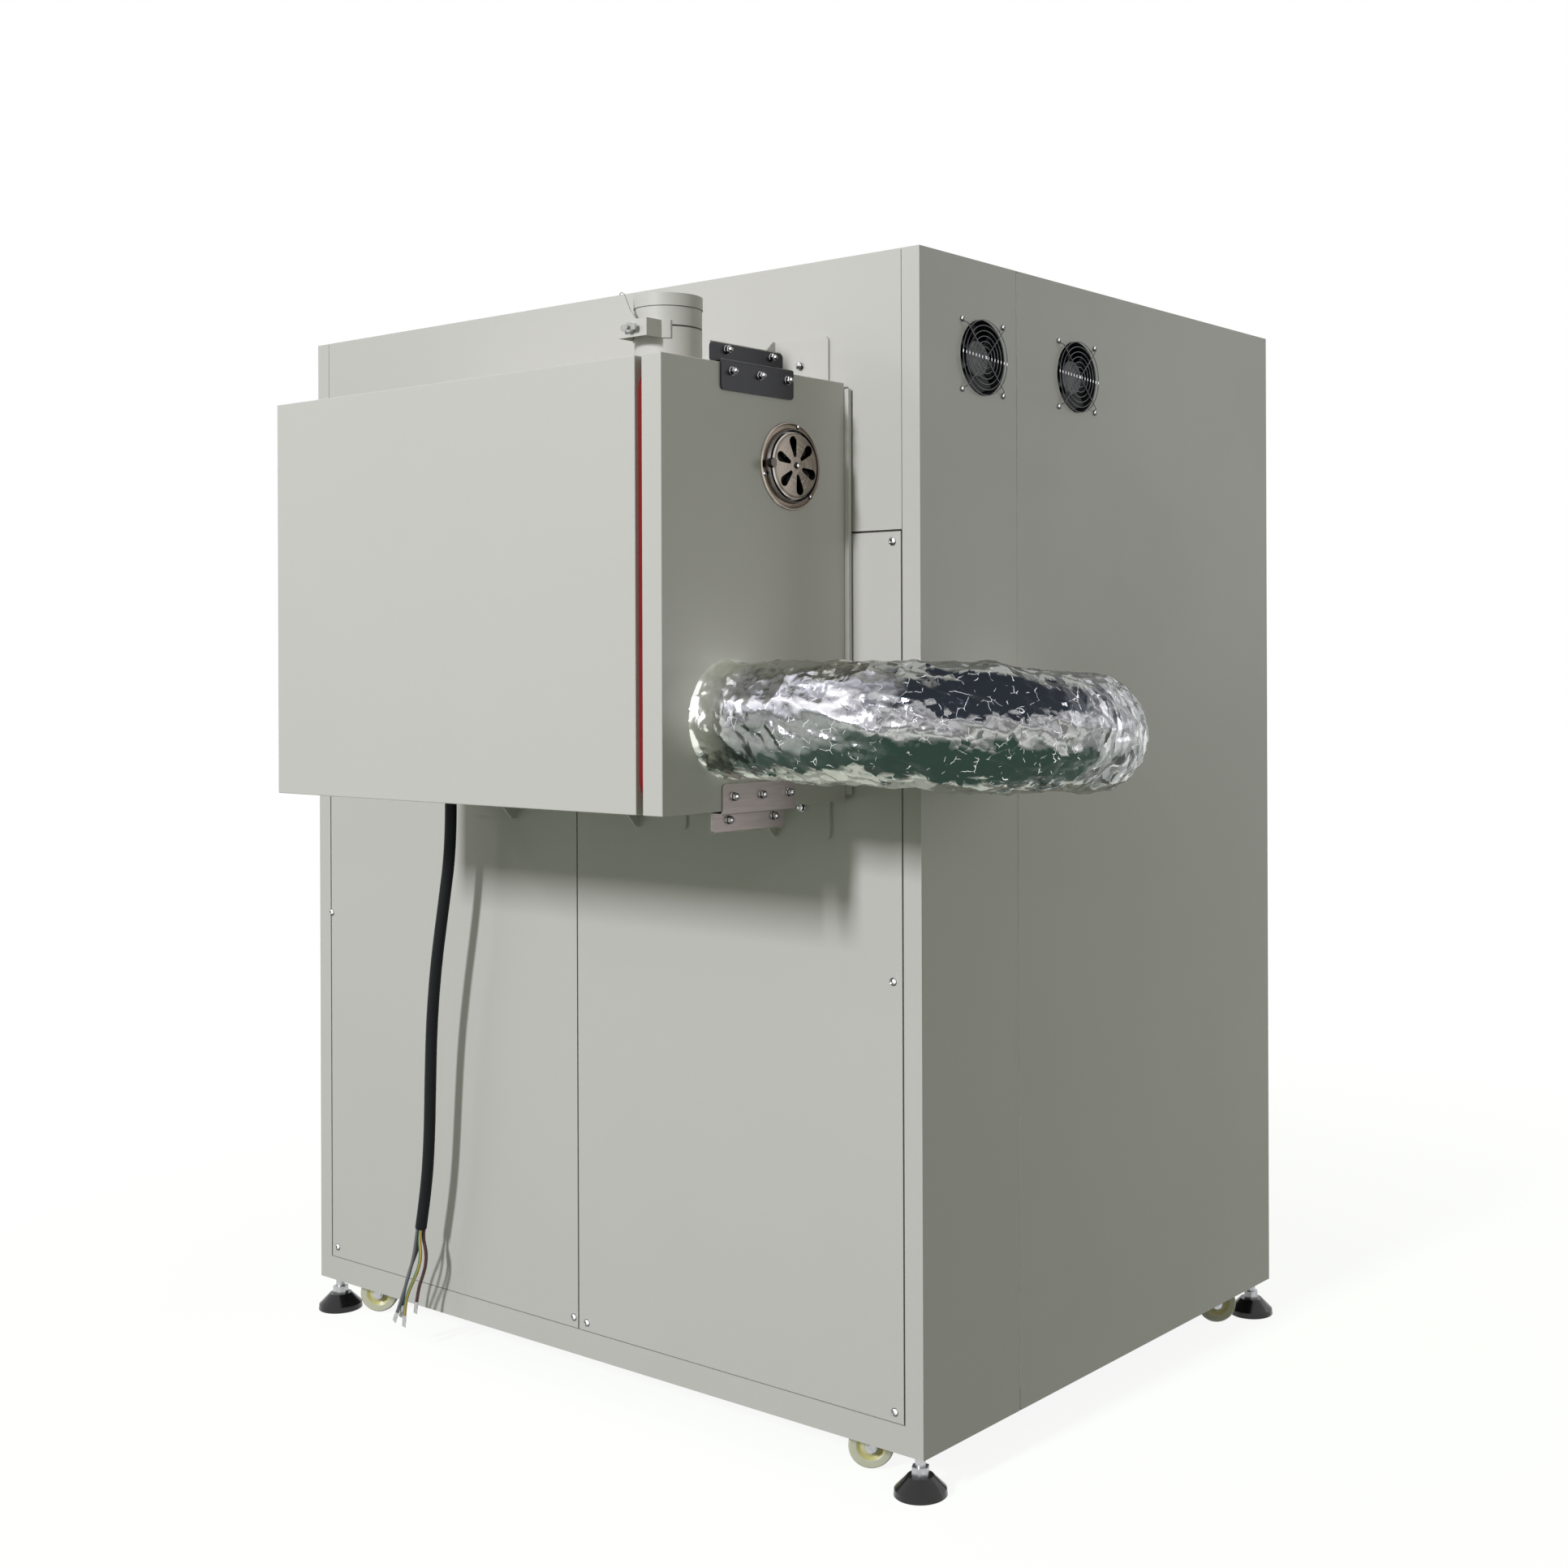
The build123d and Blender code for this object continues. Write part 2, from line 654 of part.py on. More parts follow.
def z_bracket(level):
    """A joggled strap, bent from sheet, from the end cover to the lug."""
    t = z_bracket_sheet
    low, step, tip = -z_bracket_cover_leg, z_bracket_lift, z_bracket_lift + z_bracket_lug_leg
    points = [(cover_face, low), (cover_face + t, low), (cover_face + t, step + t),
              (lug_leg_outer + t, step + t),
              (lug_leg_outer + t, tip), (lug_leg_outer, tip), (lug_leg_outer, step), (cover_face, step)]
    bends = {(cover_face + t, step + t): z_bracket_bend + t, (cover_face, step): z_bracket_bend,
             (lug_leg_outer + t, step + t): z_bracket_bend, (lug_leg_outer, step): z_bracket_bend + t}
    strap = bent_section(points, level, z_bracket_length, bends)
    ends = strap.edges().filter_by(Axis.X).filter_by(lambda e: abs(e.length - t) < 0.01)
    middle = (box_bottom if level < 0 else box_top) + level * step
    corners = [e for e in ends if abs(e.center().Z - middle) > z_bracket_lug_leg - 1]
    return fillet(corners, z_bracket_corner)


def z_brackets():
    return Compound(children=[z_bracket(-1), z_bracket(1)])


# Exhaust spigot and damper

def tube(radius, wall, low, high):
    pipe = rod((spigot_x, spigot_y, low), (spigot_x, spigot_y, high), radius)
    return pipe - rod((spigot_x, spigot_y, low - 1), (spigot_x, spigot_y, high + 1), radius - wall)


neck_radius = spigot_radius - spigot_wall - neck_clearance
damper_front = spigot_y - damper_reach
lever_y = damper_front + lever_setback
spindle_hole = rod((spigot_x, damper_front - 1, damper_height),
                   (spigot_x, spigot_y + spigot_radius + 1, damper_height),
                   spindle_radius + spindle_clearance)


def exhaust_spigot():
    """The lower pipe with the neck that the damper sleeve slides over."""
    pipe = tube(spigot_radius, spigot_wall * 2 + neck_clearance, box_top, sleeve_bottom - sleeve_seam)
    pipe += tube(neck_radius, spigot_wall, sleeve_bottom - sleeve_seam - 1, sleeve_bottom + neck_height)
    return pipe - spindle_hole


def damper_sleeve():
    sleeve = tube(spigot_radius, spigot_wall, sleeve_bottom, spigot_top)
    sleeve += tube(spigot_rim_radius, spigot_wall + 1, spigot_top - spigot_rim_height, spigot_top)
    return sleeve - spindle_hole


def damper_bracket():
    """A folded box open below, on a saddle that is rolled round the pipe."""
    half_x = damper_box[0] / 2
    low = damper_height - damper_box[1] / 2
    high = damper_height + damper_box[1] / 2
    inner_radius = spigot_radius + saddle_gap
    outer_radius = inner_radius + saddle_thickness
    housing = span((spigot_x - half_x, spigot_x + half_x), (damper_front, spigot_y), (low, high))
    housing -= span((spigot_x - half_x + damper_box_sheet, spigot_x + half_x - damper_box_sheet),
                    (damper_front + damper_box_sheet, spigot_y + 1), (low - 1, high - damper_box_sheet))
    slot = lever_thickness / 2 + 5
    housing -= span((spigot_x - lever_slot, spigot_x + lever_slot), (lever_y - slot, lever_y + slot),
                    (high - 5, high + 1))
    housing -= rod((spigot_x, spigot_y, low - 2), (spigot_x, spigot_y, high + 2), outer_radius - 0.5)
    ring = rod((spigot_x, spigot_y, low), (spigot_x, spigot_y, high), outer_radius)
    ring -= rod((spigot_x, spigot_y, low - 1), (spigot_x, spigot_y, high + 1), inner_radius)
    front = span((spigot_x - saddle_width / 2, spigot_x + saddle_width / 2),
                 (spigot_y - 2 * spigot_radius, spigot_y - spigot_radius / 2), (low - 1, high + 1))
    return housing + (ring & front) - spindle_hole


def strip(start, end, width, y):
    """A flat bar in the XZ plane of the lever."""
    along = Vector(end[0] - start[0], end[1] - start[1], 0)
    turn = math.degrees(math.atan2(along.Y, along.X))
    bar = Box(along.length, lever_thickness, width)
    middle = ((start[0] + end[0]) / 2, y, (start[1] + end[1]) / 2)
    return Location(middle, (0, -turn, 0)) * bar


def damper_lever():
    """The throttle blade, its spindle, the bent lever and the wing nut turn together."""
    blade_radius = neck_radius - spigot_wall - damper_blade_gap
    parts = Pos(spigot_x, spigot_y, damper_height) * Cylinder(blade_radius, damper_blade_thickness)
    nut_y = damper_front - 0.4
    parts += rod((spigot_x, nut_y - 12, damper_height), (spigot_x, spigot_y + spigot_radius, damper_height),
                 spindle_radius)
    pivot = (spigot_x, damper_height)
    bend = (spigot_x + lever_bend[0], damper_height + lever_bend[1])
    tip = (spigot_x + lever_tip[0], damper_height + lever_tip[1])
    parts += rod((spigot_x, lever_y - 3, damper_height), (spigot_x, lever_y + 3, damper_height),
                 lever_hub_radius)
    parts += strip(pivot, bend, lever_width, lever_y)
    parts += strip(bend, tip, lever_width, lever_y)
    parts += rod((bend[0], lever_y - 1, bend[1]), (bend[0], lever_y + 1, bend[1]), lever_width / 2)
    eye = Location((tip[0], lever_y, tip[1] + 1), (90, 0, 0)) * Torus(lever_eye_radius, 0.8)
    parts += eye
    parts += rod((spigot_x, nut_y - 8, damper_height), (spigot_x, nut_y, damper_height), 7.0)
    for side in (-1, 1):
        wing = span((spigot_x + side * 4, spigot_x + side * wing_nut_span / 2), (nut_y - 8.5, nut_y - 5.5),
                    (damper_height - 4.5, damper_height + 4.5))
        parts += fillet(wing.edges().filter_by(Axis.Y), 3.0)
    return parts


# Round air vent

def vent_plane(x):
    return Plane(origin=(x, vent_y, vent_z), x_dir=(0, 1, 0), z_dir=(1, 0, 0))


def vent_slot():
    """A teardrop with its narrow end towards the middle."""
    narrow = Pos(vent_slot_inner[0], 0) * Circle(vent_slot_inner[1])
    wide = Pos(vent_slot_outer[0], 0) * Circle(vent_slot_outer[1])
    return make_hull((narrow + wide).edges())


def vent_slots_cut(x, depth):
    slots = Sketch()
    for index in range(vent_slots):
        slots += Rot(0, 0, vent_slot_start + 360.0 / vent_slots * index) * vent_slot()
    return vent_plane(x) * extrude(slots, depth)


def vent_turned(points):
    """A solid of revolution about the vent's axis, from (height, radius) points."""
    outline = make_face(Polyline(*[(cover_face + h, r) for h, r in points], close=True))
    profile = Plane(origin=(0, vent_y, vent_z), x_dir=(1, 0, 0), z_dir=(0, -1, 0)) * outline
    return revolve(profile, Axis((0, vent_y, vent_z), (1, 0, 0)))


def vent_base():
    rivet_hole = vent_rivet_radius / 2 + vent_rivet_clearance
    body = vent_turned([(0, rivet_hole), (0, vent_flange_radius - 1), (1, vent_flange_radius),
                        (2.5, vent_flange_radius - 1),
                        (2.5, vent_flange_radius - 2.5), (vent_sheet, vent_flange_radius - 3.5),
                        (vent_sheet, vent_neck_radius + 1.5), (vent_neck_height, vent_neck_radius),
                        (vent_neck_height, vent_neck_radius - vent_sheet),
                        (vent_sheet, vent_neck_radius - vent_sheet),
                        (vent_sheet, rivet_hole)])
    return body - vent_slots_cut(cover_face - 1, 4)


def vent_shutter():
    """The turning dish: its slots pass over those of the base."""
    rim_low = vent_sheet + vent_dish_gap
    top = vent_dish_height
    dish = vent_turned([(top - vent_sheet, 0), (top - vent_sheet, vent_dish_radius - 4),
                        (top - 4, vent_dish_radius - vent_sheet), (rim_low, vent_dish_radius - vent_sheet),
                        (rim_low, vent_dish_radius), (top - 3.5, vent_dish_radius),
                        (top, vent_dish_radius - 3.5), (top, 0)])
    dish -= vent_slots_cut(cover_face + top - 4, 8)
    dish += rod((cover_face, vent_y, vent_z), (cover_face + top, vent_y, vent_z), vent_rivet_radius / 2)
    dish += rod((cover_face + rim_low, vent_y, vent_z), (cover_face + top, vent_y, vent_z),
                vent_rivet_radius)
    dish += Pos(cover_face + top, vent_y, vent_z) * Sphere(vent_rivet_radius)
    knob_y = vent_y - vent_neck_radius - 2
    seat = cover_face + top - 3
    tab = span((seat, seat + 1.5), (knob_y - 3, vent_y - vent_dish_radius + 4), (vent_z - 4, vent_z + 4))
    knob = hex_bar((seat, knob_y, vent_z), (seat + vent_knob_height, knob_y, vent_z),
                   vent_knob_flats)
    return dish + tab + knob


# Foil duct

def foil_duct():
    route = [
        (cover_face, duct_start[0], duct_start[1]),
        (duct_turn_x, duct_start[0], duct_turn_z),
        (duct_turn_x, duct_end[0], duct_turn_z),
        (side_x, duct_end[0], duct_end[1]),
    ]
    line = FilletPolyline(*route, radius=duct_bend)
    section = Plane(origin=line @ 0, z_dir=line % 0) * Circle(duct_radius)
    duct = sweep(section, path=line)
    room = 2 * duct_radius
    heights = (duct_turn_z - room, duct_turn_z + room)
    keep = span((cover_face, duct_turn_x + room), (duct_start[0] - room, duct_end[0] + room), heights)
    inside = span((box_left, side_x), (-rear_y, rear_y), heights)
    return duct & keep - inside


# Supply lead

def corner_radii(points):
    """0.45 of the shorter run over the tangent of half the turn, for each inner point."""
    vectors = [Vector(*b) - Vector(*a) for a, b in zip(points, points[1:])]
    radii = []
    for before, after in zip(vectors, vectors[1:]):
        turn = math.radians(before.get_angle(after))
        radii.append(0.45 * min(before.length, after.length) / math.tan(turn / 2))
    return radii


def cord_tube(points, radius, name):
    radii = corner_radii(points)
    line = FilletPolyline(*points, radius=radii)
    section = Plane(origin=line @ 0, z_dir=line % 0) * Circle(radius)
    cord = sweep(section, path=line)
    expected = math.pi * radius ** 2 * line.length
    print(name, "length", round(line.length, 1), "radii", [round(r) for r in radii],
          "volume ratio", round(cord.volume / expected, 4))
    return cord


def cable_gland():
    """A hexagon nut under the box and the domed cap that grips the lead."""
    x, y, low = cable_points[0]
    nut_bottom = box_bottom - gland_nut_height
    gland = hex_bar((x, y, nut_bottom), (x, y, box_bottom), gland_flats)
    mouth = cable_radius + gland_wall
    outline = Polyline((0, low), (mouth, low), (gland_dome_radius, low + gland_dome_height / 2),
                       (gland_dome_radius, nut_bottom), (0, nut_bottom), close=True)
    return gland + Pos(x, y, 0) * revolve(Plane.XZ * make_face(outline), Axis.Z)


def cable_jacket():
    return cord_tube(cable_points, cable_radius, "cable_jacket")


def core_route(name):
    """Points of one core, straight out of the jacket's end and then down to its lug."""
    angle, points = cores[name]
    last = Vector(*cable_points[-1])
    along = (last - Vector(*cable_points[-2])).normalized()
    side = along.cross(Vector(0, 1, 0)).normalized()
    up = side.cross(along)
    turn = math.radians(angle)
    start = last + side * (core_circle * math.cos(turn)) + up * (core_circle * math.sin(turn))
    hanging = [(box_left + x, box_rear + y, z * lead_ratio) for x, y, z in points]
    return [tuple(start), tuple(start + along * core_lead)] + hanging


def cable_cores():
    return Compound(children=[cord_tube(core_route(name), core_radius, "core " + name) for name in cores])


def cable_lug(name):
    route = core_route(name)
    end = Vector(*route[-1])
    along = (end - Vector(*route[-2])).normalized()
    plane = Plane(origin=end, z_dir=along)
    barrel = Cylinder(lug_barrel_radius, lug_barrel_length, align=(Align.CENTER, Align.CENTER, Align.MIN))
    tongue = Pos(0, 0, lug_barrel_length - 2) * Box(lug_tongue[0], lug_tongue[2], lug_tongue[1],
                                                    align=(Align.CENTER, Align.CENTER, Align.MIN))
    return plane * (barrel + tongue)


def cable_lugs():
    return Compound(children=[cable_lug(name) for name in cores])


nodes = {
    "base_frame": base_frame(),
    "cabinet_body_lower": cabinet_body_lower(),
    "cabinet_body_upper": cabinet_body_upper(),
    "roof_panel": roof_panel(),
    "side_panel_near": side_panel_near(),
    "side_panel_far": side_panel_far(),
    "opposite_side_panels": opposite_side_panels(),
    "rear_panel_upper": upper_wall(-1),
    "rear_panel_left": lower_wall(-1, -1),
    "rear_panel_right": lower_wall(-1, 1),
    "front_panels": front_panels(),
    "fan_frames": for_each_fan(fan_frame),
    "fan_guards": for_each_fan(fan_guard),
    "fan_rotor_near": fan_rotor(fan_places_y[0]),
    "fan_rotor_far": fan_rotor(fan_places_y[1]),
    "foot_pads": foot_pads(),
    "foot_studs": foot_studs(),
    "caster_mounts": caster_mounts(),
    "box_body": box_body(),
    "box_gasket": box_gasket(),
    "box_end_cover": box_end_cover(),
    "box_rear_flange": box_rear_flange(),
    "gussets_lower": gussets(-1),
    "gussets_upper": gussets(1),
    "lug_angles": lug_angles(),
    "z_brackets": z_brackets(),
    "exhaust_spigot": exhaust_spigot(),
    "damper_sleeve": damper_sleeve(),
    "damper_bracket": damper_bracket(),
    "damper_lever": damper_lever(),
    "vent_base": vent_base(),
    "vent_shutter": vent_shutter(),
    "foil_duct": foil_duct(),
    "cable_gland": cable_gland(),
    "cable_jacket": cable_jacket(),
    "cable_cores": cable_cores(),
    "cable_lugs": cable_lugs(),
}
for place, where in caster_places.items():
    nodes["caster_fork_" + place] = caster_fork(*where)
    nodes["caster_wheel_" + place] = caster_wheel(*where)

os.makedirs("parts", exist_ok=True)
for name, part in nodes.items():
    export_step(plan_middle * part, "parts/%s.step" % name)
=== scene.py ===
import math
import random
import bmesh
import bpy
from mathutils import Matrix, Vector, noise


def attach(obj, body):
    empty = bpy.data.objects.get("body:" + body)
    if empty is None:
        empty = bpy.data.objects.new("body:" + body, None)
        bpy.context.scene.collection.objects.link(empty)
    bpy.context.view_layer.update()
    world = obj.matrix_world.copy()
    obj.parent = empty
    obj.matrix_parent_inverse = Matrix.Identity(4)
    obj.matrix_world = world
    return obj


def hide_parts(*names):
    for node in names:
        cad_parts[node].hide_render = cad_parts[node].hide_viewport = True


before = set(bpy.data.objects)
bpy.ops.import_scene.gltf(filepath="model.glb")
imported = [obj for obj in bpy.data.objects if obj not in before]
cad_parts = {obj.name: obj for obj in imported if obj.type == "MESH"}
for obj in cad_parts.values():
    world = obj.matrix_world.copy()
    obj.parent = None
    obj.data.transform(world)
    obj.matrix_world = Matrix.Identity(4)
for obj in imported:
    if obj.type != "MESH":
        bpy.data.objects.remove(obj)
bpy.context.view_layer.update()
print("frame loaded,", len(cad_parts), "nodes")

# Places below are in millimetres from the middle of the cabinet, and the materials' are in metres in the frame
planMiddle = Vector((165.5, -187.5, 0.0))
mm = 0.001


def at(x, y, z):
    return (Vector((x, y, z)) - planMiddle) * mm


# Camera

cameraSettings = {
    "place": (2458.4, -2777.2, 1215.7),
    "turn": 37.664,
    "roll": -0.205,
    "lens": 45.107,
    "shiftX": -0.0885,
    "shiftY": -0.0766,
}


def makeCamera(s):
    data = bpy.data.cameras.new("camera")
    data.lens = s["lens"]
    data.sensor_width = 36.0
    data.sensor_fit = "AUTO"
    data.shift_x = s["shiftX"]
    data.shift_y = s["shiftY"]
    data.clip_start = 0.05
    data.clip_end = 60.0
    camera = bpy.data.objects.new("camera", data)
    camera.location = at(*s["place"])
    turn = Matrix.Rotation(math.radians(s["turn"]), 4, "Z") @ Matrix.Rotation(math.radians(90), 4, "X")
    camera.rotation_euler = (turn @ Matrix.Rotation(math.radians(s["roll"]), 4, "Z")).to_euler()
    bpy.context.scene.collection.objects.link(camera)
    bpy.context.scene.camera = camera


makeCamera(cameraSettings)


# Node tools

def newMaterial(name):
    material = bpy.data.materials.new(name)
    material.use_nodes = True
    tree = material.node_tree
    return material, tree, tree.nodes["Principled BSDF"]


def link(tree, source, target):
    tree.links.new(source, target)


def addNode(tree, kind, **values):
    node = tree.nodes.new(kind)
    for key, value in values.items():
        if key in node.inputs:
            node.inputs[key].default_value = value
        else:
            setattr(node, key, value)
    return node


def objectPlace(tree):
    # The texture coordinates on the object, whole and split into X, Y and Z
    place = addNode(tree, "ShaderNodeTexCoord")
    spot = addNode(tree, "ShaderNodeSeparateXYZ")
    link(tree, place.outputs["Object"], spot.inputs[0])
    return place.outputs["Object"], spot.outputs


def facingShare(tree, toward):
    # How squarely the surface faces one way
    slope = addNode(tree, "ShaderNodeNewGeometry")
    share = addNode(tree, "ShaderNodeVectorMath", operation="DOT_PRODUCT")
    link(tree, slope.outputs["Normal"], share.inputs[0])
    share.inputs[1].default_value = toward
    return share.outputs["Value"]


def ramp(tree, source, stops):
    node = tree.nodes.new("ShaderNodeValToRGB")
    elements = node.color_ramp.elements
    while len(elements) > 1:
        elements.remove(elements[-1])
    elements[0].position, elements[0].color = stops[0][0], (*stops[0][1], 1)
    for place, colour in stops[1:]:
        element = elements.new(place)
        element.color = (*colour, 1)
    link(tree, source, node.inputs["Fac"])
    return node.outputs["Color"]


def makeGroup(name, inputs, outputs):
    group = bpy.data.node_groups.new(name, "ShaderNodeTree")
    for label, kind, value in inputs:
        socket = group.interface.new_socket(label, in_out="INPUT", socket_type=kind)
        if value is not None:
            socket.default_value = value
    for label, kind in outputs:
        group.interface.new_socket(label, in_out="OUTPUT", socket_type=kind)
    return group, group.nodes.new("NodeGroupInput"), group.nodes.new("NodeGroupOutput")


def useGroup(tree, group, **values):
    node = tree.nodes.new("ShaderNodeGroup")
    node.node_tree = group
    for key, value in values.items():
        node.inputs[key].default_value = value
    return node


def mottleGroup():
    # Faint patches of a second colour, and a fine grain for roughness and height
    group, source, out = makeGroup("mottle", [
        ("Base", "NodeSocketColor", (0.5, 0.5, 0.5, 1)), ("Patch", "NodeSocketColor", (0.4, 0.4, 0.4, 1)),
        ("Amount", "NodeSocketFloat", 0.5), ("Patch Scale", "NodeSocketFloat", 3.0),
        ("Grain Scale", "NodeSocketFloat", 600.0), ("Roughness", "NodeSocketFloat", 0.4),
        ("Roughness Spread", "NodeSocketFloat", 0.1)],
        [("Color", "NodeSocketColor"), ("Roughness", "NodeSocketFloat"), ("Height", "NodeSocketFloat")])
    place = addNode(group, "ShaderNodeTexCoord")
    patches = addNode(group, "ShaderNodeTexNoise", Detail=4.0, Roughness=0.6)
    link(group, place.outputs["Object"], patches.inputs["Vector"])
    link(group, source.outputs["Patch Scale"], patches.inputs["Scale"])
    spread = addNode(group, "ShaderNodeMapRange")
    spread.inputs["From Min"].default_value = 0.35
    spread.inputs["From Max"].default_value = 0.7
    link(group, patches.outputs["Fac"], spread.inputs["Value"])
    amount = addNode(group, "ShaderNodeMath", operation="MULTIPLY")
    link(group, spread.outputs["Result"], amount.inputs[0])
    link(group, source.outputs["Amount"], amount.inputs[1])
    mix = addNode(group, "ShaderNodeMix", data_type="RGBA")
    link(group, amount.outputs[0], mix.inputs["Factor"])
    link(group, source.outputs["Base"], mix.inputs[6])
    link(group, source.outputs["Patch"], mix.inputs[7])
    link(group, mix.outputs[2], out.inputs["Color"])
    grain = addNode(group, "ShaderNodeTexNoise", Detail=2.0, Roughness=0.5)
    link(group, place.outputs["Object"], grain.inputs["Vector"])
    link(group, source.outputs["Grain Scale"], grain.inputs["Scale"])
    link(group, grain.outputs["Fac"], out.inputs["Height"])
    uneven = addNode(group, "ShaderNodeMath", operation="MULTIPLY_ADD")
    link(group, spread.outputs["Result"], uneven.inputs[0])
    link(group, source.outputs["Roughness Spread"], uneven.inputs[1])
    link(group, source.outputs["Roughness"], uneven.inputs[2])
    link(group, uneven.outputs[0], out.inputs["Roughness"])
    return group


def brushGroup():
    # Fine lines rolled along one axis of the sheet, with a little smear across them
    group, source, out = makeGroup("brushLines", [
        ("Base", "NodeSocketColor", (0.6, 0.6, 0.6, 1)), ("Line", "NodeSocketColor", (0.4, 0.4, 0.4, 1)),
        ("Stretch", "NodeSocketVector", (1.0, 1.0, 1.0)), ("Scale", "NodeSocketFloat", 300.0),
        ("Roughness", "NodeSocketFloat", 0.3), ("Roughness Spread", "NodeSocketFloat", 0.15)],
        [("Color", "NodeSocketColor"), ("Roughness", "NodeSocketFloat"), ("Height", "NodeSocketFloat")])
    place = addNode(group, "ShaderNodeTexCoord")
    stretch = addNode(group, "ShaderNodeVectorMath", operation="MULTIPLY")
    link(group, place.outputs["Object"], stretch.inputs[0])
    link(group, source.outputs["Stretch"], stretch.inputs[1])
    lines = addNode(group, "ShaderNodeTexNoise", Detail=3.0, Roughness=0.65)
    link(group, stretch.outputs[0], lines.inputs["Vector"])
    link(group, source.outputs["Scale"], lines.inputs["Scale"])
    mix = addNode(group, "ShaderNodeMix", data_type="RGBA")
    link(group, lines.outputs["Fac"], mix.inputs["Factor"])
    link(group, source.outputs["Base"], mix.inputs[6])
    link(group, source.outputs["Line"], mix.inputs[7])
    link(group, mix.outputs[2], out.inputs["Color"])
    uneven = addNode(group, "ShaderNodeMath", operation="MULTIPLY_ADD")
    link(group, lines.outputs["Fac"], uneven.inputs[0])
    link(group, source.outputs["Roughness Spread"], uneven.inputs[1])
    link(group, source.outputs["Roughness"], uneven.inputs[2])
    link(group, uneven.outputs[0], out.inputs["Roughness"])
    link(group, lines.outputs["Fac"], out.inputs["Height"])
    return group


mottle = mottleGroup()
brush = brushGroup()


def addBump(tree, shader, height, strength, distance):
    bump = addNode(tree, "ShaderNodeBump")
    bump.inputs["Strength"].default_value = strength
    bump.inputs["Distance"].default_value = distance
    link(tree, height, bump.inputs["Height"])
    link(tree, bump.outputs["Normal"], shader.inputs["Normal"])
    return bump


def mottledMaterial(name, base, patch, amount=0.5, patchScale=3.0, grainScale=600.0, roughness=0.4,
                    roughnessSpread=0.1, bump=0.05, bumpDepth=0.0004, metallic=0.0, **shaderValues):
    material, tree, shader = newMaterial(name)
    group = useGroup(tree, mottle, **{
        "Base": (*base, 1), "Patch": (*patch, 1), "Amount": amount, "Patch Scale": patchScale,
        "Grain Scale": grainScale, "Roughness": roughness, "Roughness Spread": roughnessSpread})
    link(tree, group.outputs["Color"], shader.inputs["Base Color"])
    link(tree, group.outputs["Roughness"], shader.inputs["Roughness"])
    addBump(tree, shader, group.outputs["Height"], bump, bumpDepth)
    shader.inputs["Metallic"].default_value = metallic
    for key, value in shaderValues.items():
        shader.inputs[key].default_value = value
    return material


def brushedMaterial(name, base, line, stretch, scale=300.0, roughness=0.3, roughnessSpread=0.15, bump=0.05):
    material, tree, shader = newMaterial(name)
    group = useGroup(tree, brush, **{
        "Base": (*base, 1), "Line": (*line, 1), "Stretch": stretch, "Scale": scale,
        "Roughness": roughness, "Roughness Spread": roughnessSpread})
    link(tree, group.outputs["Color"], shader.inputs["Base Color"])
    link(tree, group.outputs["Roughness"], shader.inputs["Roughness"])
    addBump(tree, shader, group.outputs["Height"], bump, 0.0003)
    shader.inputs["Metallic"].default_value = 1.0
    return material


def mathNode(tree, operation, first, second):
    node = addNode(tree, "ShaderNodeMath", operation=operation)
    for socket, value in zip(node.inputs, (first, second)):
        if hasattr(value, "links"):
            link(tree, value, socket)
        else:
            socket.default_value = value
    return node.outputs[0]


def between(tree, value, low, high, toLow=0.0, toHigh=1.0):
    node = addNode(tree, "ShaderNodeMapRange")
    for label, number in (("From Min", low), ("From Max", high), ("To Min", toLow), ("To Max", toHigh)):
        node.inputs[label].default_value = number
    link(tree, value, node.inputs["Value"])
    return node.outputs["Result"]


def blended(tree, factor, first, second):
    node = addNode(tree, "ShaderNodeMix", data_type="RGBA")
    link(tree, factor, node.inputs["Factor"])
    for socket, value in ((node.inputs[6], first), (node.inputs[7], second)):
        if isinstance(value, tuple):
            socket.default_value = (*value, 1)
        else:
            link(tree, value, socket)
    return node.outputs[2]


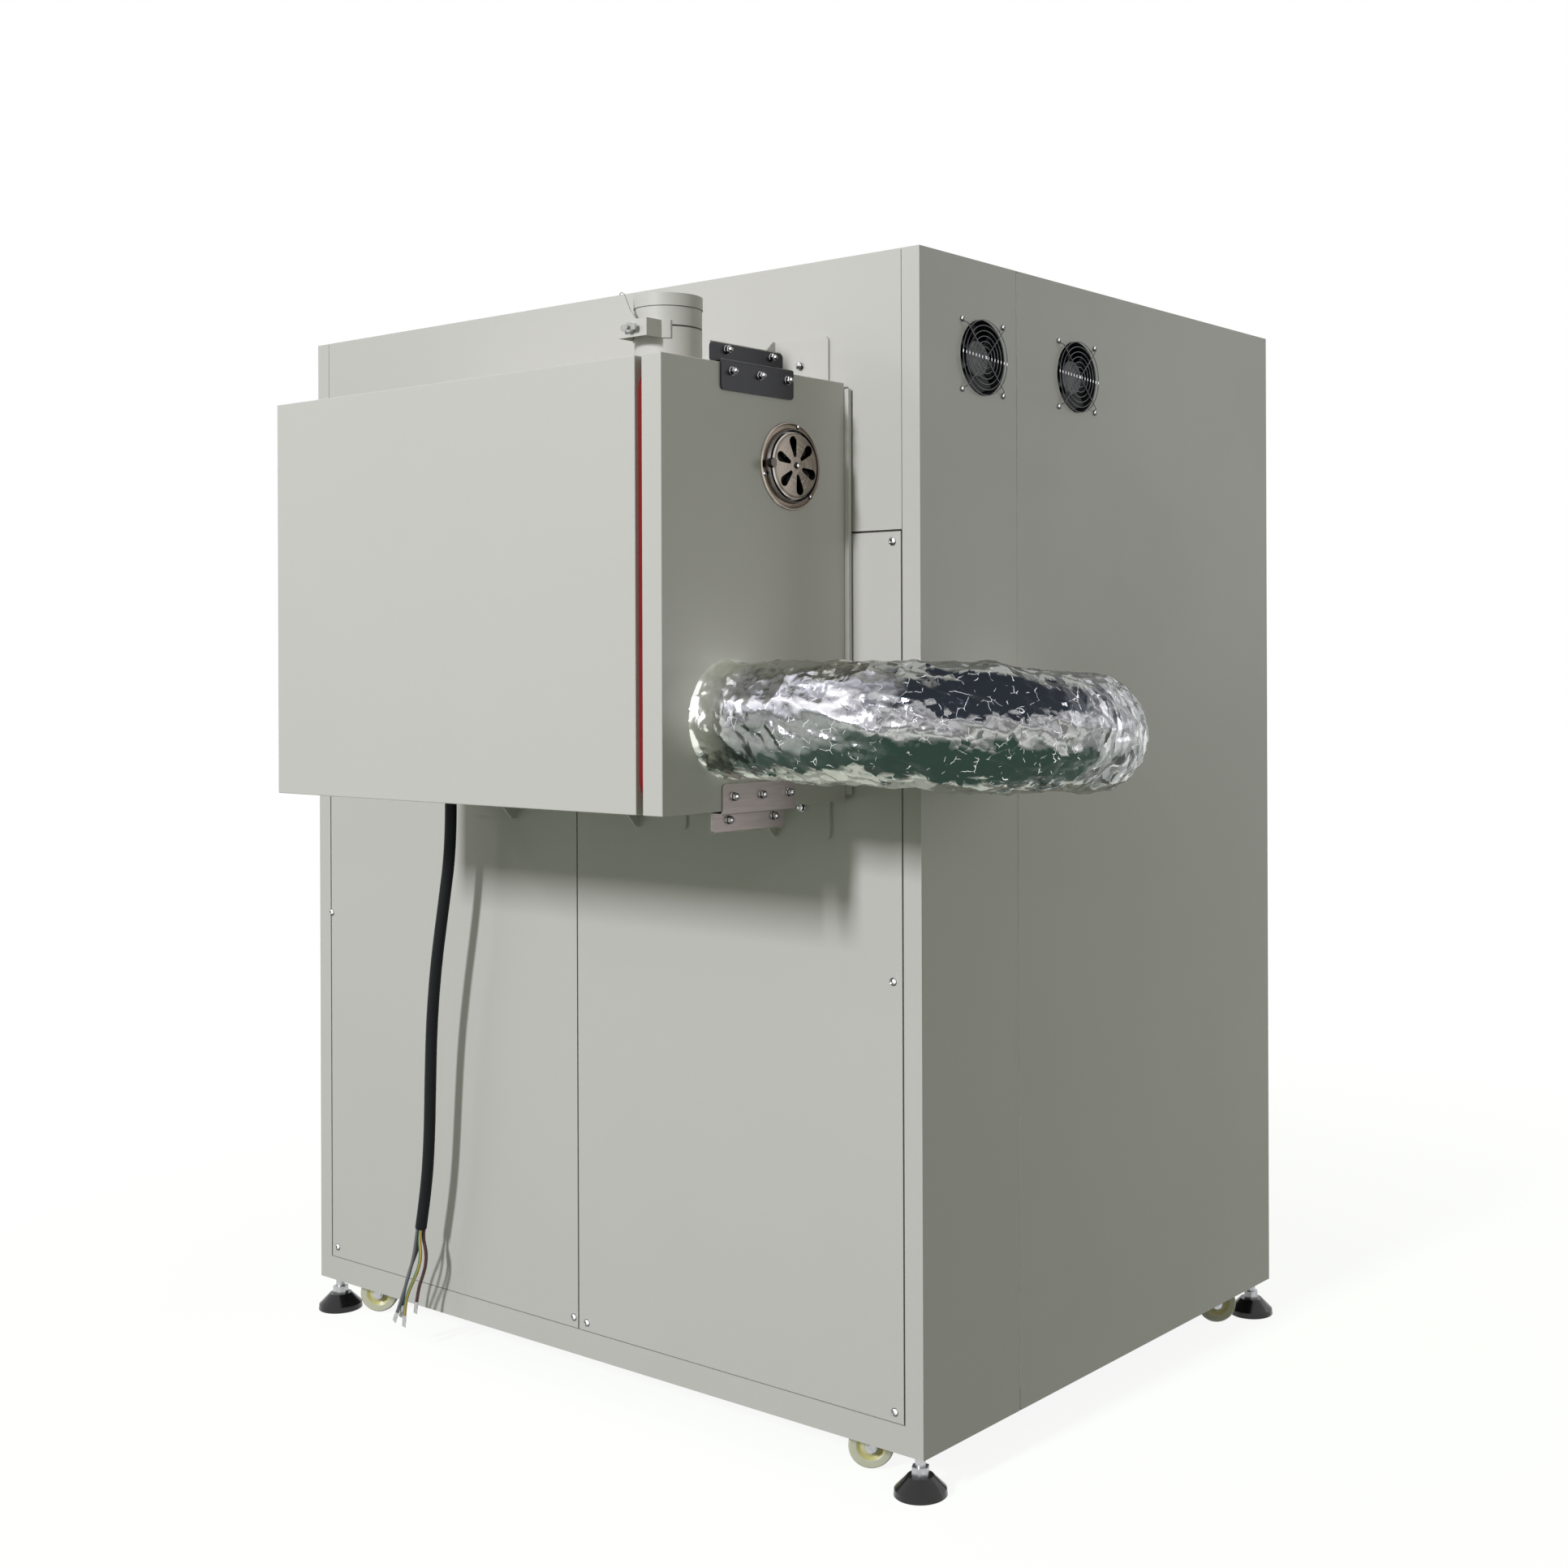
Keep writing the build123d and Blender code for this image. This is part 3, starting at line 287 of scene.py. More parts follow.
foilSettings = {
    "middle": 1.117, "radius": 0.086, "rise": 0.021, "riseFrom": 0.68, "riseTo": 0.86,
    "levelShare": 0.66, "tiltShare": 0.34, "wander": 0.12, "foldScale": 15.0, "bend": 0.03,
    # The tone lists below are painted reflections, and the crease tone is a painted highlight
    "nearPaintedReflections": [(0.02, (0.50, 0.52, 0.46)), (0.11, (0.40, 0.42, 0.37)), (0.15, (0.035, 0.055, 0.045)),
                  (0.29, (0.045, 0.07, 0.058)), (0.35, (0.17, 0.19, 0.18)), (0.47, (0.30, 0.31, 0.31)),
                  (0.53, (0.16, 0.165, 0.165)), (0.60, (0.70, 0.70, 0.78)), (0.67, (0.98, 0.97, 1.0)),
                  (0.74, (0.34, 0.34, 0.38)), (0.79, (0.72, 0.72, 0.80)), (0.84, (0.28, 0.28, 0.27)),
                  (0.90, (0.60, 0.61, 0.56)), (0.98, (0.62, 0.63, 0.57))],
    "farPaintedReflections": [(0.02, (0.50, 0.52, 0.46)), (0.10, (0.42, 0.44, 0.39)), (0.14, (0.032, 0.054, 0.044)),
                 (0.40, (0.030, 0.055, 0.045)), (0.44, (0.16, 0.17, 0.16)), (0.49, (0.50, 0.50, 0.50)),
                 (0.53, (0.15, 0.15, 0.15)), (0.57, (0.46, 0.46, 0.47)), (0.61, (0.18, 0.18, 0.19)),
                 (0.64, (0.38, 0.38, 0.39)), (0.67, (0.026, 0.031, 0.040)), (0.91, (0.022, 0.027, 0.034)),
                 (0.96, (0.34, 0.35, 0.33))],
    "coverPaintedReflections": [(0.02, (0.80, 0.83, 0.74)), (0.14, (0.86, 0.88, 0.80)), (0.18, (0.16, 0.19, 0.16)),
                   (0.24, (0.22, 0.25, 0.22)), (0.30, (0.85, 0.87, 0.80)), (0.62, (0.95, 0.96, 0.93)),
                   (0.98, (0.90, 0.92, 0.84))],
    "coverFrom": 0.505, "coverTo": 0.440,
    "endPaintedReflections": [(0.22, (0.05, 0.055, 0.055)), (0.34, (0.30, 0.31, 0.31)), (0.52, (0.42, 0.43, 0.44)),
                 (0.62, (0.90, 0.90, 0.93)), (0.78, (0.20, 0.20, 0.21))],
    "endWay": (0.79, 0.61, 0.0), "endFrom": 0.445, "endTo": 0.470,
    "endScale": 95.0, "endSlant": 0.4, "endShare": 0.7,
    "shards": [(26.0, 0.085), (70.0, 0.06)],    # scale, jump
    "farFrom": 0.64, "farTo": 0.74,
    "creaseScale": 44.0, "creaseFrom": 0.016, "creaseTo": 0.006, "creasePaintedHighlight": (0.88, 0.88, 0.92),
    "gapScale": 70.0, "gapFrom": 0.54, "gapTo": 0.60,
    "fineScale": 120.0, "creaseHeight": 2.0, "fineHeight": 0.6, "bump": 0.45, "bumpDepth": 0.0012,
    "smooth": 0.1, "rough": 0.28,
}


def foilMaterial(name, s):
    # Crumpled foil with painted reflections in its colour: a dark green floor, a bright window and a dark ceiling
    # painted as bands along the tube
    material, tree, shader = newMaterial(name)
    place, spot = objectPlace(tree)
    slope = addNode(tree, "ShaderNodeNewGeometry")
    split = addNode(tree, "ShaderNodeSeparateXYZ")
    link(tree, slope.outputs["Normal"], split.inputs[0])
    folds = addNode(tree, "ShaderNodeTexNoise", Scale=s["foldScale"], Detail=4.0, Roughness=0.6)
    link(tree, place, folds.inputs["Vector"])
    rise = between(tree, spot["X"], s["riseFrom"], s["riseTo"], s["middle"] + s["rise"], s["middle"])
    level = mathNode(tree, "MULTIPLY", mathNode(tree, "SUBTRACT", spot["Z"], rise), s["levelShare"] / s["radius"])
    tilt = mathNode(tree, "MULTIPLY", split.outputs["Z"], s["tiltShare"])
    wander = between(tree, folds.outputs["Fac"], 0.25, 0.75, -s["wander"], s["wander"])
    bent = addNode(tree, "ShaderNodeVectorMath", operation="MULTIPLY_ADD")
    link(tree, folds.outputs["Color"], bent.inputs[0])
    bent.inputs[1].default_value = (s["bend"], s["bend"], s["bend"])
    link(tree, place, bent.inputs[2])

    def cellTone(scale, source):
        # One random number for each cell of a crumpled pattern
        cell = addNode(tree, "ShaderNodeTexVoronoi", Scale=scale)
        link(tree, source, cell.inputs["Vector"])
        tones = addNode(tree, "ShaderNodeSeparateColor")
        link(tree, cell.outputs["Color"], tones.inputs[0])
        return tones.outputs[0]

    def edged(run, share, start, end):
        # A zone along the tube whose edge wanders with the folds
        return between(tree, mathNode(tree, "ADD", run, mathNode(tree, "MULTIPLY", wander, share)), start, end)

    height = mathNode(tree, "ADD", mathNode(tree, "ADD", level, tilt), wander)
    for scale, jump in s["shards"]:
        shift = between(tree, cellTone(scale, bent.outputs[0]), 0.0, 1.0, -jump, jump)
        height = mathNode(tree, "ADD", height, shift)
    height = between(tree, height, -1.0, 1.0)
    far = edged(spot["X"], 0.4, s["farFrom"], s["farTo"])
    # Painted reflections, picked by height on the tube and slope, near and far along it
    tone = blended(tree, far, ramp(tree, height, s["nearPaintedReflections"]), ramp(tree, height, s["farPaintedReflections"]))
    # Painted reflections and highlights in the crinkles at the far end
    slant = addNode(tree, "ShaderNodeVectorMath", operation="MULTIPLY")
    link(tree, bent.outputs[0], slant.inputs[0])
    slant.inputs[1].default_value = (1.0, 1.0, s["endSlant"])
    endRun = addNode(tree, "ShaderNodeVectorMath", operation="DOT_PRODUCT")
    link(tree, place, endRun.inputs[0])
    endRun.inputs[1].default_value = s["endWay"]
    atEnd = edged(endRun.outputs["Value"], 0.3, s["endFrom"], s["endTo"])
    tone = blended(tree, mathNode(tree, "MULTIPLY", atEnd, s["endShare"]), tone,
                   ramp(tree, cellTone(s["endScale"], slant.outputs[0]), s["endPaintedReflections"]))
    # Brighter painted reflections beside the end cover
    atCover = edged(spot["X"], 0.2, s["coverFrom"], s["coverTo"])
    tone = blended(tree, atCover, tone, ramp(tree, height, s["coverPaintedReflections"]))
    crease = addNode(tree, "ShaderNodeTexVoronoi", feature="DISTANCE_TO_EDGE", Scale=s["creaseScale"])
    link(tree, bent.outputs[0], crease.inputs["Vector"])
    line = between(tree, crease.outputs["Distance"], s["creaseFrom"], s["creaseTo"])
    gaps = addNode(tree, "ShaderNodeTexNoise", Scale=s["gapScale"], Detail=1.0)
    link(tree, place, gaps.inputs["Vector"])
    some = between(tree, gaps.outputs["Fac"], s["gapFrom"], s["gapTo"])
    # Painted highlight along some of the crease lines
    tone = blended(tree, mathNode(tree, "MULTIPLY", line, some), tone, s["creasePaintedHighlight"])
    link(tree, tone, shader.inputs["Base Color"])
    fine = addNode(tree, "ShaderNodeTexNoise", Scale=s["fineScale"], Detail=4.0, Roughness=0.55)
    link(tree, place, fine.inputs["Vector"])
    bumps = mathNode(tree, "ADD", mathNode(tree, "MULTIPLY", crease.outputs["Distance"], s["creaseHeight"]),
                     mathNode(tree, "MULTIPLY", fine.outputs["Fac"], s["fineHeight"]))
    addBump(tree, shader, bumps, s["bump"], s["bumpDepth"])
    link(tree, between(tree, folds.outputs["Fac"], 0.3, 0.7, s["smooth"], s["rough"]), shader.inputs["Roughness"])
    shader.inputs["Metallic"].default_value = 1.0
    return material


def paintedReflectionMetal(name, tones, toward=(0.50, -0.78, 0.38), roughness=0.2):
    # Small polished heads with a painted reflection of a dark room and a painted glint of one bright window,
    # picked by how they face it
    material, tree, shader = newMaterial(name)
    tone = ramp(tree, between(tree, facingShare(tree, toward), -1.0, 1.0), tones)
    link(tree, tone, shader.inputs["Base Color"])
    shader.inputs["Metallic"].default_value = 1.0
    shader.inputs["Roughness"].default_value = roughness
    return material


wireSettings = {
    # The wire's tone is a painted dark reflection and its glint a painted highlight
    "tone": (0.10, 0.105, 0.115), "glint": (0.95, 0.95, 1.0), "slope": -0.065, "reach": 0.0026, "roughness": 0.15,
    "nearMiddle": (-0.1865, 1.677), "farMiddle": (0.0720, 1.677),
}


def wireMaterial(name, s, middle):
    # Chromed wire painted dark as a reflection of a dark room; a painted glint of a window on each ring where it
    # crosses one line through the middle
    material, tree, shader = newMaterial(name)
    place, spot = objectPlace(tree)
    side = mathNode(tree, "MULTIPLY", mathNode(tree, "SUBTRACT", spot["Y"], middle[0]), s["slope"])
    rise = mathNode(tree, "SUBTRACT", spot["Z"], middle[1])
    off = mathNode(tree, "ABSOLUTE", mathNode(tree, "SUBTRACT", rise, side), 0.0)
    colour = blended(tree, between(tree, off, s["reach"], s["reach"] * 0.6), s["tone"], s["glint"])
    link(tree, colour, shader.inputs["Base Color"])
    shader.inputs["Metallic"].default_value = 1.0
    shader.inputs["Roughness"].default_value = s["roughness"]
    return material


ventSettings = {
    "middle": (-0.4735, 1.500), "ringsFrom": 0.040, "ringsTo": 0.064,
    # The ring tones are painted reflections, the hollow tone painted shade and the rivet glint a painted
    # highlight
    "rings": [(0.0, (0.22, 0.19, 0.16)), (0.24, (0.17, 0.145, 0.12)), (0.29, (0.60, 0.56, 0.52)),
              (0.36, (0.34, 0.31, 0.29)), (0.40, (0.02, 0.018, 0.02)), (0.48, (0.02, 0.018, 0.02)),
              (0.52, (0.50, 0.47, 0.44)), (0.57, (0.05, 0.042, 0.04)), (0.62, (0.20, 0.165, 0.13)),
              (0.86, (0.15, 0.12, 0.095)), (0.92, (0.46, 0.41, 0.36)), (1.0, (0.24, 0.20, 0.17))],
    "smearRun": 260.0, "smearScale": 1.6, "smearShare": 0.6, "smearDark": 0.45, "smearLight": 1.35,
    "dishBack": 0.4301, "dishEdge": (0.0465, 0.0460), "hollowShadeTone": (0.004, 0.004, 0.004),
    "rivetRim": (0.0052, 0.0047), "rivetTone": (0.03, 0.028, 0.026),
    "rivetTop": (0.0026, 0.0020), "rivetGlint": (1.0, 0.98, 0.95),
    "knobFrom": (0.0482, 0.0486), "knobSeat": 0.4300, "knobTone": (0.07, 0.062, 0.055),
    "smooth": 0.16, "rough": 0.30,
}


def ventMaterial(name, s):
    # Turned steel with painted reflections: each ring of the pressing is painted light or dark, and the hollow
    # behind the slots is painted black as shade
    material, tree, shader = newMaterial(name)
    place, spot = objectPlace(tree)
    side = mathNode(tree, "SUBTRACT", spot["Y"], s["middle"][0])
    rise = mathNode(tree, "SUBTRACT", spot["Z"], s["middle"][1])
    away = mathNode(tree, "SQRT", mathNode(tree, "ADD", mathNode(tree, "MULTIPLY", side, side),
                                           mathNode(tree, "MULTIPLY", rise, rise)), 0.0)
    # Painted reflections, light or dark, ring by ring
    rings = ramp(tree, between(tree, away, s["ringsFrom"], s["ringsTo"]), s["rings"])
    turn = mathNode(tree, "ARCTAN2", rise, side)
    streak = addNode(tree, "ShaderNodeCombineXYZ")
    link(tree, mathNode(tree, "MULTIPLY", away, s["smearRun"]), streak.inputs[0])
    link(tree, mathNode(tree, "COSINE", turn, 0.0), streak.inputs[1])
    link(tree, mathNode(tree, "SINE", turn, 0.0), streak.inputs[2])
    smear = addNode(tree, "ShaderNodeTexNoise", Scale=s["smearScale"], Detail=3.0)
    link(tree, streak.outputs[0], smear.inputs["Vector"])
    mix = addNode(tree, "ShaderNodeMix", data_type="RGBA", blend_type="MULTIPLY")
    mix.inputs["Factor"].default_value = s["smearShare"]
    link(tree, rings, mix.inputs[6])
    link(tree, between(tree, smear.outputs["Fac"], 0.3, 0.7, s["smearDark"], s["smearLight"]), mix.inputs[7])
    # Painted shade: the hollow behind the dish, seen through the slots, is painted near black
    hollowShade = mathNode(tree, "MULTIPLY", between(tree, spot["X"], s["dishBack"] + 0.0003, s["dishBack"]),
                    between(tree, away, *s["dishEdge"]))
    knob = mathNode(tree, "MULTIPLY", between(tree, away, *s["knobFrom"]),
                    between(tree, spot["X"], s["knobSeat"], s["knobSeat"] + 0.0005))
    tone = blended(tree, hollowShade, mix.outputs[2], s["hollowShadeTone"])
    # The rivet painted dark, with a painted highlight on its top
    tone = blended(tree, between(tree, away, *s["rivetRim"]), tone, s["rivetTone"])
    tone = blended(tree, between(tree, away, *s["rivetTop"]), tone, s["rivetGlint"])
    tone = blended(tree, knob, tone, s["knobTone"])
    link(tree, tone, shader.inputs["Base Color"])
    link(tree, between(tree, smear.outputs["Fac"], 0.3, 0.7, s["smooth"], s["rough"]), shader.inputs["Roughness"])
    shader.inputs["Metallic"].default_value = 1.0
    return material


def twoTone(material, axis, low, high, colour, metallic, roughness):
    # A second finish takes over along one axis of the piece
    tree = material.node_tree
    shader = tree.nodes["Principled BSDF"]
    place, spot = objectPlace(tree)
    factor = between(tree, spot[axis], low, high)
    base = shader.inputs["Base Color"]
    link(tree, blended(tree, factor, base.links[0].from_socket, colour), base)
    for label, value in (("Metallic", metallic), ("Roughness", roughness)):
        socket = shader.inputs[label]
        before = socket.links[0].from_socket if socket.links else socket.default_value
        rest = mathNode(tree, "MULTIPLY", mathNode(tree, "SUBTRACT", 1.0, factor), before)
        link(tree, mathNode(tree, "ADD", rest, mathNode(tree, "MULTIPLY", factor, value)), socket)


def shadeSeams(material, bands, soft, tone):
    # The lip of the rim and the joint under it lie in their own shade
    tree = material.node_tree
    base = tree.nodes["Principled BSDF"].inputs["Base Color"]
    place, spot = objectPlace(tree)
    for low, high in bands:
        band = mathNode(tree, "MULTIPLY", between(tree, spot["Z"], low, low + soft),
                        between(tree, spot["Z"], high, high - soft))
        link(tree, blended(tree, band, base.links[0].from_socket, tone), base)


def facingStripe(material, toward, low, high, colour):
    # A stripe down the side of a round piece that faces one way
    tree = material.node_tree
    base = tree.nodes["Principled BSDF"].inputs["Base Color"]
    share = between(tree, facingShare(tree, toward), low, high)
    link(tree, blended(tree, share, base.links[0].from_socket, colour), base)


wheelSettings = {
    "base": (0.69, 0.69, 0.53), "patch": (0.64, 0.64, 0.46), "ringTone": (0.66, 0.62, 0.24),
    "ringFrom": 0.015, "ringTo": 0.035, "ring": [(0.0, 0.0), (0.25, 1.0), (0.42, 1.0), (0.55, 0.0)],
}


def wheelMaterial(name, s, middle):
    # Ivory nylon with a yellower ring where the tread meets the hub
    material = mottledMaterial(name, s["base"], s["patch"], 0.6, 40.0, 900.0, 0.3, 0.1, 0.06, 0.0004,
                               **{"Subsurface Weight": 0.1})
    tree = material.node_tree
    base = tree.nodes["Principled BSDF"].inputs["Base Color"]
    place, spot = objectPlace(tree)
    away = addNode(tree, "ShaderNodeVectorMath", operation="DISTANCE")
    link(tree, place, away.inputs[0])
    away.inputs[1].default_value = middle
    ring = ramp(tree, between(tree, away.outputs["Value"], s["ringFrom"], s["ringTo"]),
                [(stop, (share, share, share)) for stop, share in s["ring"]])
    link(tree, blended(tree, ring, base.links[0].from_socket, s["ringTone"]), base)
    return material


enamel = {"base": (0.565, 0.562, 0.528), "patch": (0.54, 0.538, 0.50), "amount": 0.5, "patchScale": 2.2,
          "grainScale": 900.0, "roughnessSpread": 0.08}
finishes = {
    "greyEnamel": mottledMaterial("greyEnamel", **enamel, roughness=0.33, bump=0.12, bumpDepth=0.0003),
    "pipeEnamel": mottledMaterial("pipeEnamel", **enamel, roughness=0.5, bump=0.12, bumpDepth=0.0003),
    "redSilicone": mottledMaterial("redSilicone", (0.22, 0.012, 0.014), (0.16, 0.008, 0.010), 0.6, 30.0, 1500.0,
                                   0.6, 0.1, 0.2, 0.0004, **{"Specular IOR Level": 0.2}),
    "blackPlastic": mottledMaterial("blackPlastic", (0.012, 0.012, 0.013), (0.02, 0.02, 0.022), 0.5, 20.0, 1500.0,
                                    0.38, 0.1, 0.15, 0.0003),
    "footBlack": mottledMaterial("footBlack", (0.006, 0.006, 0.007), (0.012, 0.012, 0.013), 0.5, 30.0, 900.0,
                                 0.14, 0.1, 0.04, 0.0003),
    "zincSteel": mottledMaterial("zincSteel", (0.55, 0.55, 0.56), (0.36, 0.37, 0.40), 0.7, 90.0, 900.0,
                                 0.24, 0.2, 0.06, 0.0003, 1.0),
    # Painted reflection: dark heads with a painted glint where they face the window
    "screwPaintedReflection": paintedReflectionMetal("screwPaintedReflection", [
        (stop, (tone, tone, tone)) for stop, tone in
        ((0.0, 0.03), (0.35, 0.10), (0.62, 0.045), (0.80, 0.16), (0.88, 0.30), (0.93, 0.95), (0.98, 1.0))]),
    "stainless": brushedMaterial("stainless", (0.33, 0.29, 0.28), (0.25, 0.22, 0.21), (1.0, 0.06, 1.0)),
    "ventSteel": ventMaterial("ventSteel", ventSettings),
    "leverPaint": mottledMaterial("leverPaint", **enamel, roughness=0.33),
    "paleSealant": mottledMaterial("paleSealant", (0.80, 0.79, 0.74), (0.60, 0.59, 0.55), 0.7, 25.0, 900.0, 0.3),
    "hubGrey": mottledMaterial("hubGrey", (0.115, 0.112, 0.108), (0.05, 0.05, 0.05), 0.8, 130.0, 700.0, 0.3, 0.2,
                               0.3, 0.0004),
    "cableBlack": mottledMaterial("cableBlack", (0.008, 0.009, 0.011), (0.014, 0.015, 0.017), 0.6, 40.0, 1200.0,
                                  0.5, 0.12, 0.1, 0.0003, **{"Specular IOR Level": 0.15}),
    "foil": foilMaterial("foil", foilSettings),
    "wireNear": wireMaterial("wireNear", wireSettings, wireSettings["nearMiddle"]),
    "wireFar": wireMaterial("wireFar", wireSettings, wireSettings["farMiddle"]),
}

# The upper stepped bracket is nearly black, and the lever's wing nut is bare steel
twoTone(finishes["stainless"], "Z", 1.30, 1.31, (0.008, 0.0085, 0.012), 0.4, 0.34)
twoTone(finishes["leverPaint"], "Y", -0.6265, -0.6270, (0.42, 0.42, 0.41), 1.0, 0.25)
shadeSeams(finishes["pipeEnamel"], [(1.7289, 1.7302), (1.6998, 1.7026)], 0.0004, (0.10, 0.10, 0.09))

nodeFinish = {
    "greyEnamel": ["base_frame", "cabinet_body_lower", "cabinet_body_upper", "roof_panel", "side_panel_near",
                   "side_panel_far", "opposite_side_panels", "rear_panel_upper", "rear_panel_left",
                   "rear_panel_right", "front_panels", "box_body", "box_end_cover", "box_rear_flange",
                   "gussets_lower", "gussets_upper", "lug_angles", "damper_bracket"],
    "pipeEnamel": ["exhaust_spigot", "damper_sleeve"],
    "redSilicone": ["box_gasket"],
    "blackPlastic": ["fan_frames", "fan_rotor_near", "fan_rotor_far", "cable_gland"],
    "footBlack": ["foot_pads"],
    "zincSteel": ["foot_studs", "caster_mounts", "cable_lugs"],
    "stainless": ["z_brackets"],
    "leverPaint": ["damper_lever"],
    "ventSteel": ["vent_base", "vent_shutter"],
}


def paint(nodeName, material):
    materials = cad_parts[nodeName].data.materials
    materials.clear()
    materials.append(material)


for finishName, nodeNames in nodeFinish.items():
    for nodeName in nodeNames:
        paint(nodeName, finishes[finishName])
for corner in ("rear_left", "rear_right", "front_left", "front_right"):
    wheel = "caster_wheel_" + corner
    middle = sum((Vector(spot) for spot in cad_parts[wheel].bound_box), Vector()) / 8
    paint("caster_fork_" + corner, finishes["zincSteel"])
    paint(wheel, wheelMaterial("ivoryNylon" + corner, wheelSettings, middle))
print("finishes on the frame's nodes")


# Piece tools

def toObject(bm, name, finish, body="cabinet", smoothAngle=35.0):
    # Drawn in millimetres round the cabinet's middle, kept in metres in the frame
    bmesh.ops.transform(bm, matrix=Matrix.Scale(mm, 4) @ Matrix.Translation(-planMiddle), verts=bm.verts)
    mesh = bpy.data.meshes.new(name)
    bm.to_mesh(mesh)
    bm.free()
    for face in mesh.polygons:
        face.use_smooth = True
    mesh.set_sharp_from_angle(angle=math.radians(smoothAngle))
    mesh.materials.append(finishes[finish])
    piece = bpy.data.objects.new(name, mesh)
    bpy.context.scene.collection.objects.link(piece)
    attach(piece, body)
    return piece


def stamp(bm, template, matrix):
    # Adds a copy of a small finished shape at one place
    count = len(bm.verts)
    bm.from_mesh(template)
    bm.verts.ensure_lookup_table()
    bmesh.ops.transform(bm, matrix=matrix, verts=bm.verts[count:])


def turned(name, profile, steps):
    # Spins a (radius, height) outline round Z into a closed template
    bm = bmesh.new()
    verts = [bm.verts.new((radius, 0, height)) for radius, height in profile]
    edges = [bm.edges.new(pair) for pair in zip(verts, verts[1:])]
    bmesh.ops.spin(bm, geom=verts + edges, cent=(0, 0, 0), axis=(0, 0, 1), angle=math.tau, steps=steps,
                   use_merge=True)
    bmesh.ops.remove_doubles(bm, verts=bm.verts, dist=0.001)
    bmesh.ops.recalc_face_normals(bm, faces=bm.faces)
    mesh = bpy.data.meshes.new(name)
    bm.to_mesh(mesh)
    bm.free()
    return mesh


def facing(place, direction, scale=1.0):
    # Stands a template's Z along a direction at a place
    turn = Vector(direction).to_track_quat("Z", "Y").to_matrix().to_4x4()
    return Matrix.Translation(place) @ turn @ Matrix.Scale(scale, 4)


# Foil duct

ductSettings = {
    "radius": 86.0,
    "around": 200,
    "step": 2.85,
    "startX": 586.0, "startY": -785.0,
    "turnCentre": (750.0, -555.0), "turnHeight": 1117.0,
    "endX": 720.0,
    "creases": [(66.0, 7.5, 3.1), (31.0, 4.2, 7.7), (15.0, 1.5, 12.3)],    # cell, depth, offset
    "warpSeed": 1796020609, "stretch": 0.72, "twist": 240.0,
    "ribPitch": 52.0, "ribDepth": 1.6, "waist": 2.0,
    "rises": [(0.0, 23.0), (290.0, 20.0), (375.0, 15.0), (505.0, 7.0), (640.0, 0.0), (917.0, 5.0)],
    "girths": [(0.0, 0.0), (290.0, 1.5), (375.0, 8.0), (505.0, -1.5), (640.0, 2.0), (917.0, 0.0)],
}


def along(stops, run):
    # Smooth steps from one stop to the next
    for (start, low), (end, high) in zip(stops, stops[1:]):
        if run <= end:
            share = max(0.0, (run - start) / (end - start))
            return low + (high - low) * share * share * (3.0 - 2.0 * share)
    return stops[-1][1]


def ductCentre(s, point):
    # Middle of the tube beside a point, the length run to there, and the level way out from the bend
    cx, cy = s["turnCentre"]
    legs = cx - s["startX"]
    bend = cy - s["startY"]
    if point.x <= cx:
        if point.y < cy:
            return Vector((point.x, s["startY"], 0)), point.x - s["startX"], Vector((0, -1, 0))
        return Vector((point.x, cy + bend, 0)), legs + math.pi * bend + (cx - point.x), Vector((0, 1, 0))
    turn = math.atan2(point.y - cy, point.x - cx)
    side = Vector((math.cos(turn), math.sin(turn), 0))
    return Vector((cx, cy, 0)) + side * bend, legs + (turn + math.pi / 2) * bend, side


